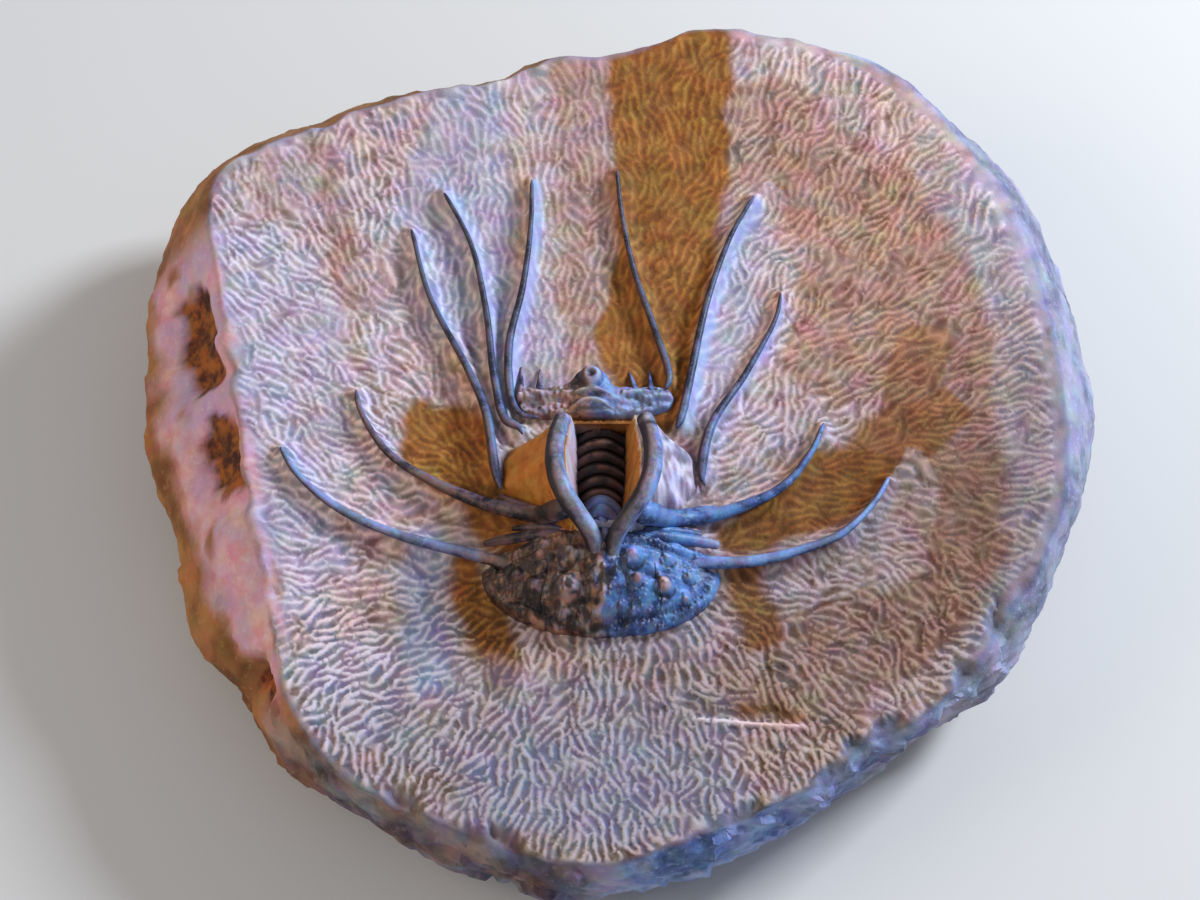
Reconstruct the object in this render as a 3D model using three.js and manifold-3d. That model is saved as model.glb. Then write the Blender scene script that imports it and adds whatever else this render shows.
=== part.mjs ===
// Horned spiny trilobite on its rock. The nodule was split, its upper face worked down to a shallow
// bowl, and the animal left standing on a low mound in the middle: the head slopes to the front, two
// horns arch back from its last ring over a narrow slot, the thorax shows as rings at the bottom of
// that slot, the tail plate closes it, and long spines lie out over the bowl on low ridges.
// Millimetres, +Z up, head towards -Y, the rock lying on its flat base.
import * as THREE from "three";
import * as BufferGeometryUtils from "three/addons/utils/BufferGeometryUtils.js";
import Module from "manifold-3d";

const wasm = await Module();
wasm.setup();

// ---- driving dimensions -------------------------------------------------------------------------
const GAP = 0.3; // clearance between a piece and what it lies on
const POCKET_GAP = 0.45; // clearance around a plate set into the rock
const AXIS_X = -2.4; // the animal's mid-line
const TAIL_X = -3.7; // the mid-line at the tail, which bends a little to the left
const FACE_CENTRE = new THREE.Vector2(AXIS_X, -6); // centre of the worked bowl

const FLOOR_Z = 22; // bowl floor, level with the centre
const FLOOR_SLOPE = 0.05; // the bowl climbs towards the tail
const BOWL_POWER = 2.2; // how late the floor turns up to the rim
const MOUND_HEIGHT = 4.5; // rise left under the body
const MOUND_X = 20;
const MOUND_Y = 22;
const RIDGE_HEIGHT = 1.3; // rise left under each spine
const RIDGE_WIDTH = 2.2;

const STONE_STATIONS = 84; // facets around the rock
const FACE_RINGS = 19; // rings of facets across the bowl

// Edge of the worked face, anticlockwise from the right: x, y, z.
const RIM = [
  [58.5, -7.5, 27], [58.5, 5.5, 28], [57, 19.5, 29], [52, 34, 31], [44, 46.5, 32], [33, 56, 32.5],
  [22, 59, 33], [11.5, 60, 33.5], [0.5, 55.5, 33], [-9.5, 54.5, 33], [-18.5, 50.5, 33],
  [-29, 48, 33], [-41, 43, 33], [-54.5, 34.5, 32], [-53.5, 19, 31], [-50.5, 5, 29],
  [-48.5, -12, 27], [-47.5, -25, 24.5], [-46.5, -38, 22], [-34.5, -48.5, 20], [-16.5, -56, 19],
  [-7.5, -59, 18.5], [2.5, -58.5, 18.5], [13.5, -53.5, 19.5], [25.5, -48.5, 20], [31, -43, 21],
  [38.5, -40.5, 21.5], [44.5, -35, 22.5], [50, -26.5, 24], [56, -17, 25.5],
];

// Widest line of the rock, the same way round.
const GIRDLE = [
  [63.5, 1.5, 14], [64, 13.5, 15], [61.5, 26, 16], [57.5, 38, 17], [47, 51.5, 18], [34, 60, 18],
  [12, 62.5, 18], [-10, 58, 18], [-30, 54.5, 18], [-41, 53, 18], [-52.5, 50, 17], [-60, 40.5, 16],
  [-64, 28.5, 15], [-64.5, 15, 14], [-63, 2, 13], [-59.5, -9.5, 12], [-57.5, -21, 11],
  [-50, -30.5, 10], [-44, -39, 9], [-36, -46, 9], [-28, -51.5, 9], [-19, -55.5, 9],
  [-9.5, -58.5, 9], [0, -58.5, 9], [9, -56.5, 9], [17, -52, 9], [25, -47, 9], [32, -42.5, 10],
  [40, -36.5, 10], [48.5, -31, 11], [54.5, -21.5, 12], [59.5, -11, 13],
];

// Flank of the rock from the flat base up: share of the girdle radius, share of the girdle height.
const LOWER_FLANK = [
  { radius: 0.7, height: 0 },
  { radius: 0.86, height: 0.2 },
  { radius: 0.96, height: 0.55 },
];
// Then from the girdle to the rim: share of the way, and how far it bulges.
const UPPER_FLANK = [
  { share: 0, bulge: 0 },
  { share: 0.4, bulge: 1.2 },
  { share: 0.8, bulge: 1 },
  { share: 0.94, bulge: 0.5 },
];

// Weathered hollows in the left flank: place, half-length along Y, half-height, depth.
const HOLLOWS = [
  { y: 17, z: 26, length: 8.5, height: 4, depth: 3 },
  { y: -4, z: 24, length: 6.5, height: 4, depth: 2.5 },
  { y: -35, z: 17.5, length: 4, height: 3, depth: 2 },
];

// Spine routes seen from above, base to tip, with radius at the base, half way and at the tip.
const GENAL_SPINES = {
  left: { route: [[-16.2, -19.8], [-20.5, -18.4], [-28.8, -16], [-37, -12.5], [-42.2, -8.2],
    [-44.3, -4.8]], radii: [0.85, 0.6, 0.35] },
  right: { route: [[11.6, -20], [16.4, -19.6], [22.6, -18.1], [28.9, -15.6], [33.2, -11.3],
    [35.4, -7.6]], radii: [0.85, 0.6, 0.35] },
};
const PLEURAL_SPINES = {
  pleural_spine_front_left: { route: [[-12.2, -13.9], [-17.7, -11.9], [-24.5, -8.4], [-30.6, -4.1],
    [-34.2, 1.7], [-34.8, 4.5]], radii: [1.25, 0.65, 0.4] },
  pleural_spine_front_right: { route: [[6.6, -14.9], [13.9, -12.8], [21.3, -9], [25.4, -3.6],
    [27.1, 0.5]], radii: [1.25, 0.65, 0.4] },
  pleural_spine_middle_left: { route: [[-16.1, -7.8], [-17.6, 1.5], [-20.2, 8.4], [-25.5, 19.3],
    [-28.1, 29]], radii: [0.7, 0.5, 0.3] },
  pleural_spine_middle_right: { route: [[10.8, -7.8], [12.1, -0.7], [17.2, 8.3], [21.2, 16.5],
    [21.9, 20.1]], radii: [0.7, 0.5, 0.3] },
  pleural_spine_rear_left: { route: [[-13.2, -1.2], [-15, 0.2], [-16.5, 6.5], [-17.9, 17.7],
    [-20.1, 27.3], [-23.9, 34.4]], radii: [0.6, 0.5, 0.3] },
  pleural_spine_rear_right: { route: [[8.2, 0.2], [9.6, 7.4], [12, 19], [15.3, 28.7],
    [18.5, 34.6]], radii: [0.7, 0.5, 0.3] },
};
const TAIL_SPINES = {
  pygidial_spine_left: { route: [[-14.5, 5.2], [-14.6, 12.4], [-12.9, 20.7], [-11.9, 29.7],
    [-11.8, 36.2]], radii: [0.65, 0.5, 0.3] },
  pygidial_spine_right: { route: [[6.7, 6.4], [4.9, 13.9], [2.1, 23.1], [0.4, 32],
    [-0.2, 38]], radii: [0.65, 0.5, 0.3] },
};
const SPINE_SIDES = 7;
const SPINE_STEP = 3.4; // length of one facet along a spine

// Horns: distance from their own mid-line, y, z along the centre of the horn, base to tip.
const HORN_X = -2; // the horns and the block under them stand a little to the right of the slot
const HORN_ROUTE = [
  [1.7, -19.4, 32.4], [3.4, -17.6, 34.4], [5, -15.6, 35.7], [6.1, -12.6, 36], [6.35, -8.6, 34.9],
  [6, -5.2, 33.3], [5.4, -2.6, 32],
];
const HORN_RADII = [0.95, 0.85, 0.75];
const HORN_SIDES = 8;
const HORN_STEPS = 11;

// Saddle of rock under the horns: y, half-width at the foot, half-width at the crest, crest height.
const SADDLE = [
  [-17.9, 4, 3.5, 32.2], [-16, 6.6, 5.6, 34.1], [-13.5, 8.8, 6.7, 34.7], [-11.5, 12.8, 6.9, 34.5],
  [-9.5, 17.1, 7, 34], [-5.6, 18.1, 7, 32.3], [-3.8, 16.5, 6.9, 31.5], [-2, 9.6, 6.6, 30.6],
  [-0.6, 7.6, 6.2, 29.8],
];
const SADDLE_FOOT_Z = 21;

// Slot between the horns, with the thorax at its bottom: y, half-width at the floor and at the top.
const SLOT = [
  [-17.7, 0.9, 1.8], [-16, 1.7, 3.6], [-13, 2.6, 4.9], [-8, 3.3, 5.4], [-0.6, 3.5, 5.2],
];
const SLOT_FLOOR_Z = 23;
const SLOT_TOP_Z = 35.5;

const RING_COUNT = 9;
const RING_CREST_Z = 26;
const RING_SIDE_Z = 24.6;
const RING_FRONT_DROP = 0.7; // each ring tucks under the one before it
const RING_REAR_DROP = 0.5;
const RING_SIDE_CLEARANCE = 0.1;

// Head shield, half outlines as distance from the mid-line and y.
const HEAD_FLOOR_Z = 21.2;
const HEAD_MARGIN_Z = 23.2;
const HEAD_BACK_Y = -18.3;
const HEAD_FRONT_Y = -28.9;
const HEAD_HALF_WIDTH = 16;
const HEAD_RISE = 8.2;
const HEAD_FRONT_FULLNESS = 0.8; // under 1 the front rises steeply, then levels
const HEAD_SIDE_POWER = 1.4; // how flat the vault stays before it turns down to the sides
const CRANIDIUM_HALF = [
  [0, HEAD_FRONT_Y], [3, -28.6], [4.8, -27.5], [5.9, -25.9], [6.5, -23.6], [6.7, -21], [6.5, -18.7],
  [0, HEAD_BACK_Y],
];
const CHEEK_OUTLINE = [
  [7.3, -24], [7.4, -26.2], [9.5, -26.6], [12.4, -25.8], [14.6, -23.8], [15.4, -21.2], [14.2, -18.9],
  [10.5, -18.5], [7.6, -18.7], [7.3, -21],
];
const LOBE = { offset: 4.6, y: -24.6, radius: 1.9, height: 1.3 };
const EYE = { offset: 9, y: -24.2, radius: 1.25 };
const EYE_PROFILE = [[1.15, 26], [1, 29], [0.8, 29.7], [0.4, 30]]; // share of the radius, height
const EYE_SIDES = 10;

// Tail plate.
const TAIL_FRONT_Y = 0.6;
const TAIL_REAR_Y = 7.6;
const TAIL_HALF_WIDTH = 9.6;
const TAIL_HALF = [
  [0, TAIL_FRONT_Y], [4.5, 0.8], [9.2, 1.8], [TAIL_HALF_WIDTH, 3.4], [8.2, 5.6], [4.6, 6.9],
  [0, TAIL_REAR_Y],
];
const TAIL_FLOOR_Z = 24;
const TAIL_MARGIN_Z = 26.8;
const TAIL_AXIS_RISE = 2.6;
const TAIL_VAULT_RISE = 0.7;
const TAIL_REAR_SLOPE = 1.5; // length over which the rear edge drops
const TAIL_AXIS_HALF = 2.6;
const TAIL_PRICKLES = [
  [[-11.6, 4.8], [-12.7, 9.4]],
  [[-9.6, 5.4], [-10.6, 9.4]],
  [[2.2, 5.4], [2.6, 9.4]],
  [[4.2, 4.8], [4.4, 9]],
];
const PRICKLE_RADII = [0.5, 0.4, 0.3];

// ---- finishes -----------------------------------------------------------------------------------
const LIMESTONE = { color: 0xb49d8e, roughness: 0.9, metalness: 0 };
const SHELL = { color: 0x2f3640, roughness: 0.45, metalness: 0 };

// ---- geometry helpers ---------------------------------------------------------------------------
const clamp = THREE.MathUtils.clamp;
const lerp = THREE.MathUtils.lerp;

// A closed solid through rings of equal count: quads between the rings, a fan over each end.
function loft(rings) {
  const count = rings[0].length;
  const positions = rings.flat().flatMap((p) => [p.x, p.y, p.z]);
  const index = [];
  for (let k = 0; k < rings.length - 1; k++) {
    for (let i = 0; i < count; i++) {
      const a = k * count + i;
      const b = k * count + ((i + 1) % count);
      index.push(a, b, b + count, a, b + count, a + count);
    }
  }
  const fan = (ring, start, flip) => {
    const middle = ring.reduce((sum, p) => sum.add(p), new THREE.Vector3()).divideScalar(count);
    const apex = positions.length / 3;
    positions.push(middle.x, middle.y, middle.z);
    for (let i = 0; i < count; i++) {
      const a = start + i;
      const b = start + ((i + 1) % count);
      index.push(...(flip ? [apex, b, a] : [apex, a, b]));
    }
  };
  fan(rings[0], 0, true);
  fan(rings.at(-1), (rings.length - 1) * count, false);
  return facingOut(positions, index);
}

// Turns every face over if the solid came out inside out.
function facingOut(positions, index) {
  let volume = 0;
  const corner = (i) => new THREE.Vector3().fromArray(positions, index[i] * 3);
  for (let i = 0; i < index.length; i += 3) {
    volume += corner(i).dot(corner(i + 1).cross(corner(i + 2)));
  }
  if (volume < 0) index.reverse();
  const geometry = new THREE.BufferGeometry();
  geometry.setAttribute("position", new THREE.Float32BufferAttribute(positions, 3));
  geometry.setIndex(index);
  return geometry;
}

function toSolid(geometry) {
  const bare = geometry.clone();
  bare.deleteAttribute("normal");
  bare.deleteAttribute("uv");
  const merged = BufferGeometryUtils.mergeVertices(bare, 1e-4);
  return new wasm.Manifold(new wasm.Mesh({
    numProp: 3,
    vertProperties: new Float32Array(merged.attributes.position.array),
    triVerts: new Uint32Array(merged.index.array),
  }));
}

function fromSolid(solid) {
  const mesh = solid.getMesh();
  const geometry = new THREE.BufferGeometry();
  geometry.setAttribute("position", new THREE.BufferAttribute(mesh.vertProperties, 3));
  geometry.setIndex(new THREE.BufferAttribute(mesh.triVerts, 1));
  return geometry;
}

// A smooth closed outline through a few points, as evenly spaced points.
function smoothOutline(points, count) {
  const knots = points.map(([x, y]) => new THREE.Vector3(x, y, 0));
  const curve = new THREE.CatmullRomCurve3(knots, true, "centripetal");
  return curve.getSpacedPoints(count).slice(0, count);
}

// A round bar along a route of points, its radius running base, half way, tip.
function taperedBar(points, radii, sides, steps) {
  const curve = new THREE.CatmullRomCurve3(points, false, "centripetal");
  const rings = [];
  for (let k = 0; k <= steps; k++) {
    const share = k / steps;
    const centre = curve.getPointAt(share);
    const along = curve.getTangentAt(share);
    const side = new THREE.Vector3(0, 0, 1).cross(along).normalize();
    const up = along.clone().cross(side);
    const radius = share < 0.5
      ? lerp(radii[0], radii[1], share * 2)
      : lerp(radii[1], radii[2], share * 2 - 1);
    rings.push(Array.from({ length: sides }, (_, i) => {
      const turn = (i / sides) * 2 * Math.PI;
      return centre.clone()
        .addScaledVector(side, radius * Math.cos(turn))
        .addScaledVector(up, radius * Math.sin(turn));
    }));
  }
  return loft(rings);
}

// A plate with upright sides and a modelled top: outline rings shrink towards the middle.
function plate(outline, middle, floorZ, topZ, ringCount) {
  const rings = [outline.map((p) => new THREE.Vector3(p.x, p.y, floorZ))];
  for (let k = 0; k < ringCount; k++) {
    const share = 1 - k / ringCount;
    rings.push(outline.map((p) => {
      const x = lerp(middle.x, p.x, share);
      const y = lerp(middle.y, p.y, share);
      return new THREE.Vector3(x, y, topZ(x, y));
    }));
  }
  return loft(rings);
}

// The room a plate takes in the rock: its outline grown by the gap, from below its floor upwards.
function pocket(outline, middle, floorZ) {
  const grown = outline.map((p) => {
    const away = new THREE.Vector3(p.x - middle.x, p.y - middle.y, 0);
    return away.setLength(away.length() + POCKET_GAP).add(new THREE.Vector3(middle.x, middle.y, 0));
  });
  const level = (z) => grown.map((p) => new THREE.Vector3(p.x, p.y, z));
  return loft([level(floorZ - GAP), level(SLOT_TOP_Z)]);
}

// ---- rock ---------------------------------------------------------------------------------------
// A ring of points as radius and height for each angle around the centre of the bowl.
function ringByAngle(points) {
  const knots = points.map((p) => new THREE.Vector3(...p));
  const curve = new THREE.CatmullRomCurve3(knots, true, "centripetal");
  const samples = curve.getPoints(points.length * 10).slice(1).map((p) => {
    const dx = p.x - FACE_CENTRE.x;
    const dy = p.y - FACE_CENTRE.y;
    return { angle: Math.atan2(dy, dx), radius: Math.hypot(dx, dy), z: p.z };
  }).sort((a, b) => a.angle - b.angle);
  const last = samples.at(-1);
  const turn = 2 * Math.PI;
  samples.unshift({ ...last, angle: last.angle - turn });
  samples.push({ ...samples[1], angle: samples[1].angle + turn });
  return (angle) => {
    const wrapped = Math.atan2(Math.sin(angle), Math.cos(angle));
    const next = samples.findIndex((s) => s.angle >= wrapped);
    const before = samples[next - 1];
    const after = samples[next];
    const share = (wrapped - before.angle) / (after.angle - before.angle);
    return {
      radius: lerp(before.radius, after.radius, share),
      z: lerp(before.z, after.z, share),
    };
  };
}

const rimAt = ringByAngle(RIM);
const girdleAt = ringByAngle(GIRDLE);

const spineTable = { ...GENAL_SPINES, ...PLEURAL_SPINES, ...TAIL_SPINES };
const ridgeLines = Object.values(spineTable).map(({ route }) => {
  const knots = route.map(([x, y]) => new THREE.Vector3(x, y, 0));
  return new THREE.CatmullRomCurve3(knots, false, "centripetal").getSpacedPoints(24);
});

// Rise of the ridge left under the nearest spine.
function ridge(x, y) {
  let rise = 0;
  for (const line of ridgeLines) {
    for (const p of line) {
      const away = Math.hypot(x - p.x, y - p.y) / RIDGE_WIDTH;
      rise = Math.max(rise, RIDGE_HEIGHT * Math.exp(-away * away));
    }
  }
  return rise;
}

// Height of the worked face at a share of the way from its centre to its rim.
function faceZ(x, y, share, rimZ) {
  const floor = FLOOR_Z + FLOOR_SLOPE * y;
  const bowl = lerp(floor, rimZ, share ** BOWL_POWER);
  const dx = (x - FACE_CENTRE.x) / MOUND_X;
  const dy = (y - FACE_CENTRE.y) / MOUND_Y;
  const mound = MOUND_HEIGHT * Math.exp(-dx * dx - dy * dy);
  const fade = clamp((1 - share) * 12, 0, 1);
  return bowl + mound * fade + ridge(x, y) * fade;
}

// How far a point of the left flank is eaten away.
function hollowDepth(x, y, z) {
  if (x > AXIS_X) return 0;
  return HOLLOWS.reduce((depth, hollow) => {
    const dy = (y - hollow.y) / hollow.length;
    const dz = (z - hollow.z) / hollow.height;
    return depth + hollow.depth * Math.exp(-dy * dy - dz * dz);
  }, 0);
}

function rockGeometry() {
  const angles = Array.from({ length: STONE_STATIONS }, (_, i) => (i / STONE_STATIONS) * 2 * Math.PI);
  const spot = (angle, radius, z) => new THREE.Vector3(
    FACE_CENTRE.x + radius * Math.cos(angle),
    FACE_CENTRE.y + radius * Math.sin(angle),
    z,
  );
  const rings = LOWER_FLANK.map(({ radius, height }) => angles.map((angle) => {
    const girdle = girdleAt(angle);
    return spot(angle, girdle.radius * radius, girdle.z * height);
  }));
  for (const { share, bulge } of UPPER_FLANK) {
    rings.push(angles.map((angle) => {
      const girdle = girdleAt(angle);
      const rim = rimAt(angle);
      const radius = lerp(girdle.radius, rim.radius, share) + bulge;
      const z = lerp(girdle.z, rim.z, share);
      const p = spot(angle, radius, z);
      return spot(angle, radius - hollowDepth(p.x, p.y, p.z), z);
    }));
  }
  for (let k = 0; k < FACE_RINGS; k++) {
    const share = 1 - k / FACE_RINGS;
    rings.push(angles.map((angle) => {
      const rim = rimAt(angle);
      const p = spot(angle, rim.radius * share, 0);
      return p.setZ(faceZ(p.x, p.y, share, rim.z));
    }));
  }
  return loft(rings);
}

// The rock left standing under the horns, before the slot is cut through it.
function saddleGeometry() {
  return loft(SADDLE.map(([y, foot, crest, z]) => [
    new THREE.Vector3(HORN_X - foot, y, SADDLE_FOOT_Z),
    new THREE.Vector3(HORN_X + foot, y, SADDLE_FOOT_Z),
    new THREE.Vector3(HORN_X + crest, y, z),
    new THREE.Vector3(HORN_X - crest, y, z),
  ]));
}

// Half-width of the slot's floor.
function slotHalf(y) {
  const next = SLOT.findIndex(([station]) => station >= y);
  const [y0, half0] = SLOT[Math.max(next - 1, 0)];
  const [y1, half1] = SLOT[Math.max(next, 1)];
  return lerp(half0, half1, (y - y0) / (y1 - y0));
}

function slotGeometry() {
  return loft(SLOT.map(([y, floor, top]) => [
    new THREE.Vector3(AXIS_X - floor, y, SLOT_FLOOR_Z),
    new THREE.Vector3(AXIS_X + floor, y, SLOT_FLOOR_Z),
    new THREE.Vector3(HORN_X + top, y, SLOT_TOP_Z),
    new THREE.Vector3(HORN_X - top, y, SLOT_TOP_Z),
  ]));
}

// ---- head ---------------------------------------------------------------------------------------
// Vault of the head shield: high at the back, down to the margin in front and at the sides.
function headZ(x, y) {
  const across = Math.abs(x - AXIS_X) / HEAD_HALF_WIDTH;
  const back = clamp((y - HEAD_FRONT_Y) / (HEAD_BACK_Y - HEAD_FRONT_Y), 0, 1);
  const lengthways = Math.sin((back * Math.PI) / 2) ** HEAD_FRONT_FULLNESS;
  const sideways = clamp(1 - across ** HEAD_SIDE_POWER, 0, 1);
  return HEAD_MARGIN_Z + HEAD_RISE * lengthways * sideways;
}

function cranidiumZ(x, y) {
  const lobe = [-1, 1].reduce((rise, side) => {
    const dx = (x - AXIS_X - side * LOBE.offset) / LOBE.radius;
    const dy = (y - LOBE.y) / LOBE.radius;
    return rise + LOBE.height * Math.exp(-dx * dx - dy * dy);
  }, 0);
  return headZ(x, y) + lobe;
}

const mirrored = (half) => [
  ...half.map(([offset, y]) => [AXIS_X + offset, y]),
  ...half.slice(1, -1).reverse().map(([offset, y]) => [AXIS_X - offset, y]),
];
const cranidium = {
  outline: smoothOutline(mirrored(CRANIDIUM_HALF), 28),
  middle: new THREE.Vector2(AXIS_X, -23),
};
const cheekPlate = (side) => ({
  outline: smoothOutline(CHEEK_OUTLINE.map(([offset, y]) => [AXIS_X + side * offset, y]), 20),
  middle: new THREE.Vector2(AXIS_X + side * 11, -22.5),
});
const cheeks = { left: cheekPlate(-1), right: cheekPlate(1) };

// ---- tail ---------------------------------------------------------------------------------------
function tailZ(x, y) {
  const across = (x - TAIL_X) / TAIL_AXIS_HALF;
  const rear = clamp((TAIL_REAR_Y - y) / TAIL_REAR_SLOPE, 0, 1);
  const sides = 1 - ((x - TAIL_X) / TAIL_HALF_WIDTH) ** 2;
  const axis = Math.exp(-across * across);
  return TAIL_MARGIN_Z + (TAIL_VAULT_RISE * sides + TAIL_AXIS_RISE * axis) * rear;
}

const tail = {
  outline: smoothOutline([
    ...TAIL_HALF.map(([offset, y]) => [TAIL_X + offset, y]),
    ...TAIL_HALF.slice(1, -1).reverse().map(([offset, y]) => [TAIL_X - offset, y]),
  ], 28),
  middle: new THREE.Vector2(TAIL_X, 3.2),
};

// ---- rock with everything cut into it -----------------------------------------------------------
let rock = toSolid(rockGeometry()).add(toSolid(saddleGeometry())).subtract(toSolid(slotGeometry()));
for (const [shape, floor] of [[cranidium, HEAD_FLOOR_Z], [cheeks.left, HEAD_FLOOR_Z],
  [cheeks.right, HEAD_FLOOR_Z], [tail, TAIL_FLOOR_Z]]) {
  rock = rock.subtract(toSolid(pocket(shape.outline, shape.middle, floor)));
}

// ---- scene --------------------------------------------------------------------------------------
const part = new THREE.Group();

function place(name, geometry, finish) {
  const flat = geometry.toNonIndexed();
  flat.computeVertexNormals();
  const mesh = new THREE.Mesh(flat, new THREE.MeshStandardMaterial({ ...finish, flatShading: true }));
  mesh.name = name;
  part.add(mesh);
  return mesh;
}

const matrix = place("matrix", fromSolid(rock), LIMESTONE);
matrix.updateMatrixWorld();

// Height of the rock straight below a point.
const plumb = new THREE.Raycaster();
function rockZ(x, y) {
  plumb.set(new THREE.Vector3(x, y, 100), new THREE.Vector3(0, 0, -1));
  return plumb.intersectObject(matrix)[0].point.z;
}

// A spine's route laid on the rock: it clears the highest rock under its own width.
function spineOnRock({ route, radii }) {
  const knots = route.map(([x, y]) => new THREE.Vector3(x, y, 0));
  const plan = new THREE.CatmullRomCurve3(knots, false, "centripetal");
  const steps = Math.round(plan.getLength() / SPINE_STEP);
  const points = plan.getSpacedPoints(steps).map((p, k) => {
    const radius = lerp(radii[0], radii[2], k / steps);
    const beside = [0, 1, 2, 3, 4, 5].map((i) => (i / 3) * Math.PI).map((turn) => rockZ(
      p.x + radius * Math.cos(turn),
      p.y + radius * Math.sin(turn),
    ));
    return p.setZ(Math.max(...beside, rockZ(p.x, p.y)) + radius + GAP);
  });
  points[0].z = Math.max(points[0].z, points[1].z);
  return taperedBar(points, radii, SPINE_SIDES, steps);
}

// The eye stands on the cheek as a short turret.
function eyeGeometry(sign) {
  const centre = new THREE.Vector2(AXIS_X + sign * EYE.offset, EYE.y);
  return loft(EYE_PROFILE.map(([share, z]) => Array.from({ length: EYE_SIDES }, (_, i) => {
    const turn = (i / EYE_SIDES) * 2 * Math.PI;
    const radius = share * EYE.radius;
    return new THREE.Vector3(
      centre.x + radius * Math.cos(turn),
      centre.y + radius * Math.sin(turn),
      z,
    );
  })));
}

// One ring of the thorax, arched across the slot from one wall to the other.
function ringGeometry(front, rear) {
  const half = slotHalf(front) - GAP - RING_SIDE_CLEARANCE;
  const section = (y, crest) => {
    const arch = [-1, -0.6, 0, 0.6, 1].map((share) => new THREE.Vector3(
      AXIS_X + share * half,
      y,
      lerp(crest, RING_SIDE_Z, share * share),
    ));
    const foot = [1, -1].map((share) => new THREE.Vector3(
      AXIS_X + share * half,
      y,
      SLOT_FLOOR_Z + GAP,
    ));
    return [...arch, ...foot];
  };
  return loft([
    section(front, RING_CREST_Z - RING_FRONT_DROP),
    section(lerp(front, rear, 0.5), RING_CREST_Z),
    section(rear, RING_CREST_Z - RING_REAR_DROP),
  ]);
}

place("cranidium", plate(cranidium.outline, cranidium.middle, HEAD_FLOOR_Z, cranidiumZ, 5), SHELL);

for (const [side, sign] of [["left", -1], ["right", 1]]) {
  const { outline, middle } = cheeks[side];
  const cheek = toSolid(plate(outline, middle, HEAD_FLOOR_Z, headZ, 3))
    .add(toSolid(eyeGeometry(sign)))
    .add(toSolid(spineOnRock(GENAL_SPINES[side])));
  place(`free_cheek_${side}`, fromSolid(cheek), SHELL);
}

for (const [side, sign] of [["left", -1], ["right", 1]]) {
  const route = HORN_ROUTE.map(([offset, y, z]) => new THREE.Vector3(HORN_X + sign * offset, y, z));
  place(`horn_${side}`, taperedBar(route, HORN_RADII, HORN_SIDES, HORN_STEPS), SHELL);
}

// Thorax: one ring after another along the bottom of the slot.
const slotFront = SLOT[0][0];
const slotRear = SLOT.at(-1)[0];
const ringPitch = (slotRear - slotFront - GAP) / RING_COUNT;
for (let n = 0; n < RING_COUNT; n++) {
  const front = slotFront + GAP + n * ringPitch;
  place(`thoracic_ring_${n + 1}`, ringGeometry(front, front + ringPitch - GAP), SHELL);
}

for (const [name, spine] of Object.entries(PLEURAL_SPINES)) {
  place(name, spineOnRock(spine), SHELL);
}

let tailSolid = toSolid(plate(tail.outline, tail.middle, TAIL_FLOOR_Z, tailZ, 5));
for (const [base, tip] of TAIL_PRICKLES) {
  const start = new THREE.Vector3(base[0], base[1], TAIL_MARGIN_Z);
  const end = new THREE.Vector3(tip[0], tip[1], rockZ(tip[0], tip[1]) + PRICKLE_RADII[2] + GAP);
  tailSolid = tailSolid.add(toSolid(taperedBar([start, end], PRICKLE_RADII, SPINE_SIDES, 3)));
}
place("pygidium", fromSolid(tailSolid), SHELL);

for (const [name, spine] of Object.entries(TAIL_SPINES)) {
  place(name, spineOnRock(spine), SHELL);
}

// The origin is the middle of the flat base under the whole part's box.
const box = new THREE.Box3().setFromObject(part);
part.position.set(-(box.min.x + box.max.x) / 2, -(box.min.y + box.max.y) / 2, -box.min.z);

export default part;
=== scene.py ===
# %% [markdown]
# # A horned spiny trilobite on its rock
# This notebook gives a small fossil its looks: a limestone nodule whose top was worked down to a
# shallow bowl with a vibrating scribe, and in the middle of it the animal, head towards -Y. The solid
# model is loaded first and fixes every place and size. Drawing coordinates below are millimetres, the
# same as in the solid model, and `to_frame` turns them into the metres of the frame.

# %% The fixed frame
import math
from collections import deque

import bpy
import numpy as np
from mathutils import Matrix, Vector, noise
from mathutils.geometry import delaunay_2d_cdt
from mathutils.kdtree import KDTree


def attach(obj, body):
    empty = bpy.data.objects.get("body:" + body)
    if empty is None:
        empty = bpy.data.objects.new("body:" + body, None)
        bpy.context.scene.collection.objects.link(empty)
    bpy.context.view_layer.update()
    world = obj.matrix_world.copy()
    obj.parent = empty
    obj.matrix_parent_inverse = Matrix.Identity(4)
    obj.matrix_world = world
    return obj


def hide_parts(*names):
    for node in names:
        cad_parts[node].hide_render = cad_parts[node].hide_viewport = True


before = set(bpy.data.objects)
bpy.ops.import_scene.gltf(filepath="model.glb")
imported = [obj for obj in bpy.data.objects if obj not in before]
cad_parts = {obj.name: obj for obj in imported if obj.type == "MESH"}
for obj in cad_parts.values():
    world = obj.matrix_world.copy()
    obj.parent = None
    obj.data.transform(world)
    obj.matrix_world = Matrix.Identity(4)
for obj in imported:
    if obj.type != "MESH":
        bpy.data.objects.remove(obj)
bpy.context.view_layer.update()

# %% Shared measures
MM = 0.001
DRAWING_SHIFT = np.array([0.22, -1.313, 0.0])  # from the drawing's origin to the middle of the flat base
AXIS_X = -2.4  # mid-line of the animal
HORN_X = -2.0  # mid-line between the horns and of the block under them
FACE_CENTRE = np.array([AXIS_X, -6.0])  # middle of the worked bowl
FAR = 99.0  # stands for out of reach, as a distance or a height
random = np.random.default_rng(7)


def to_frame(points):
    """Drawing millimetres to frame metres."""
    return (np.asarray(points, float) + DRAWING_SHIFT) * MM


print("the drawing's origin lies at", to_frame((0, 0, 0)).round(5).tolist(), "m")

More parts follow.
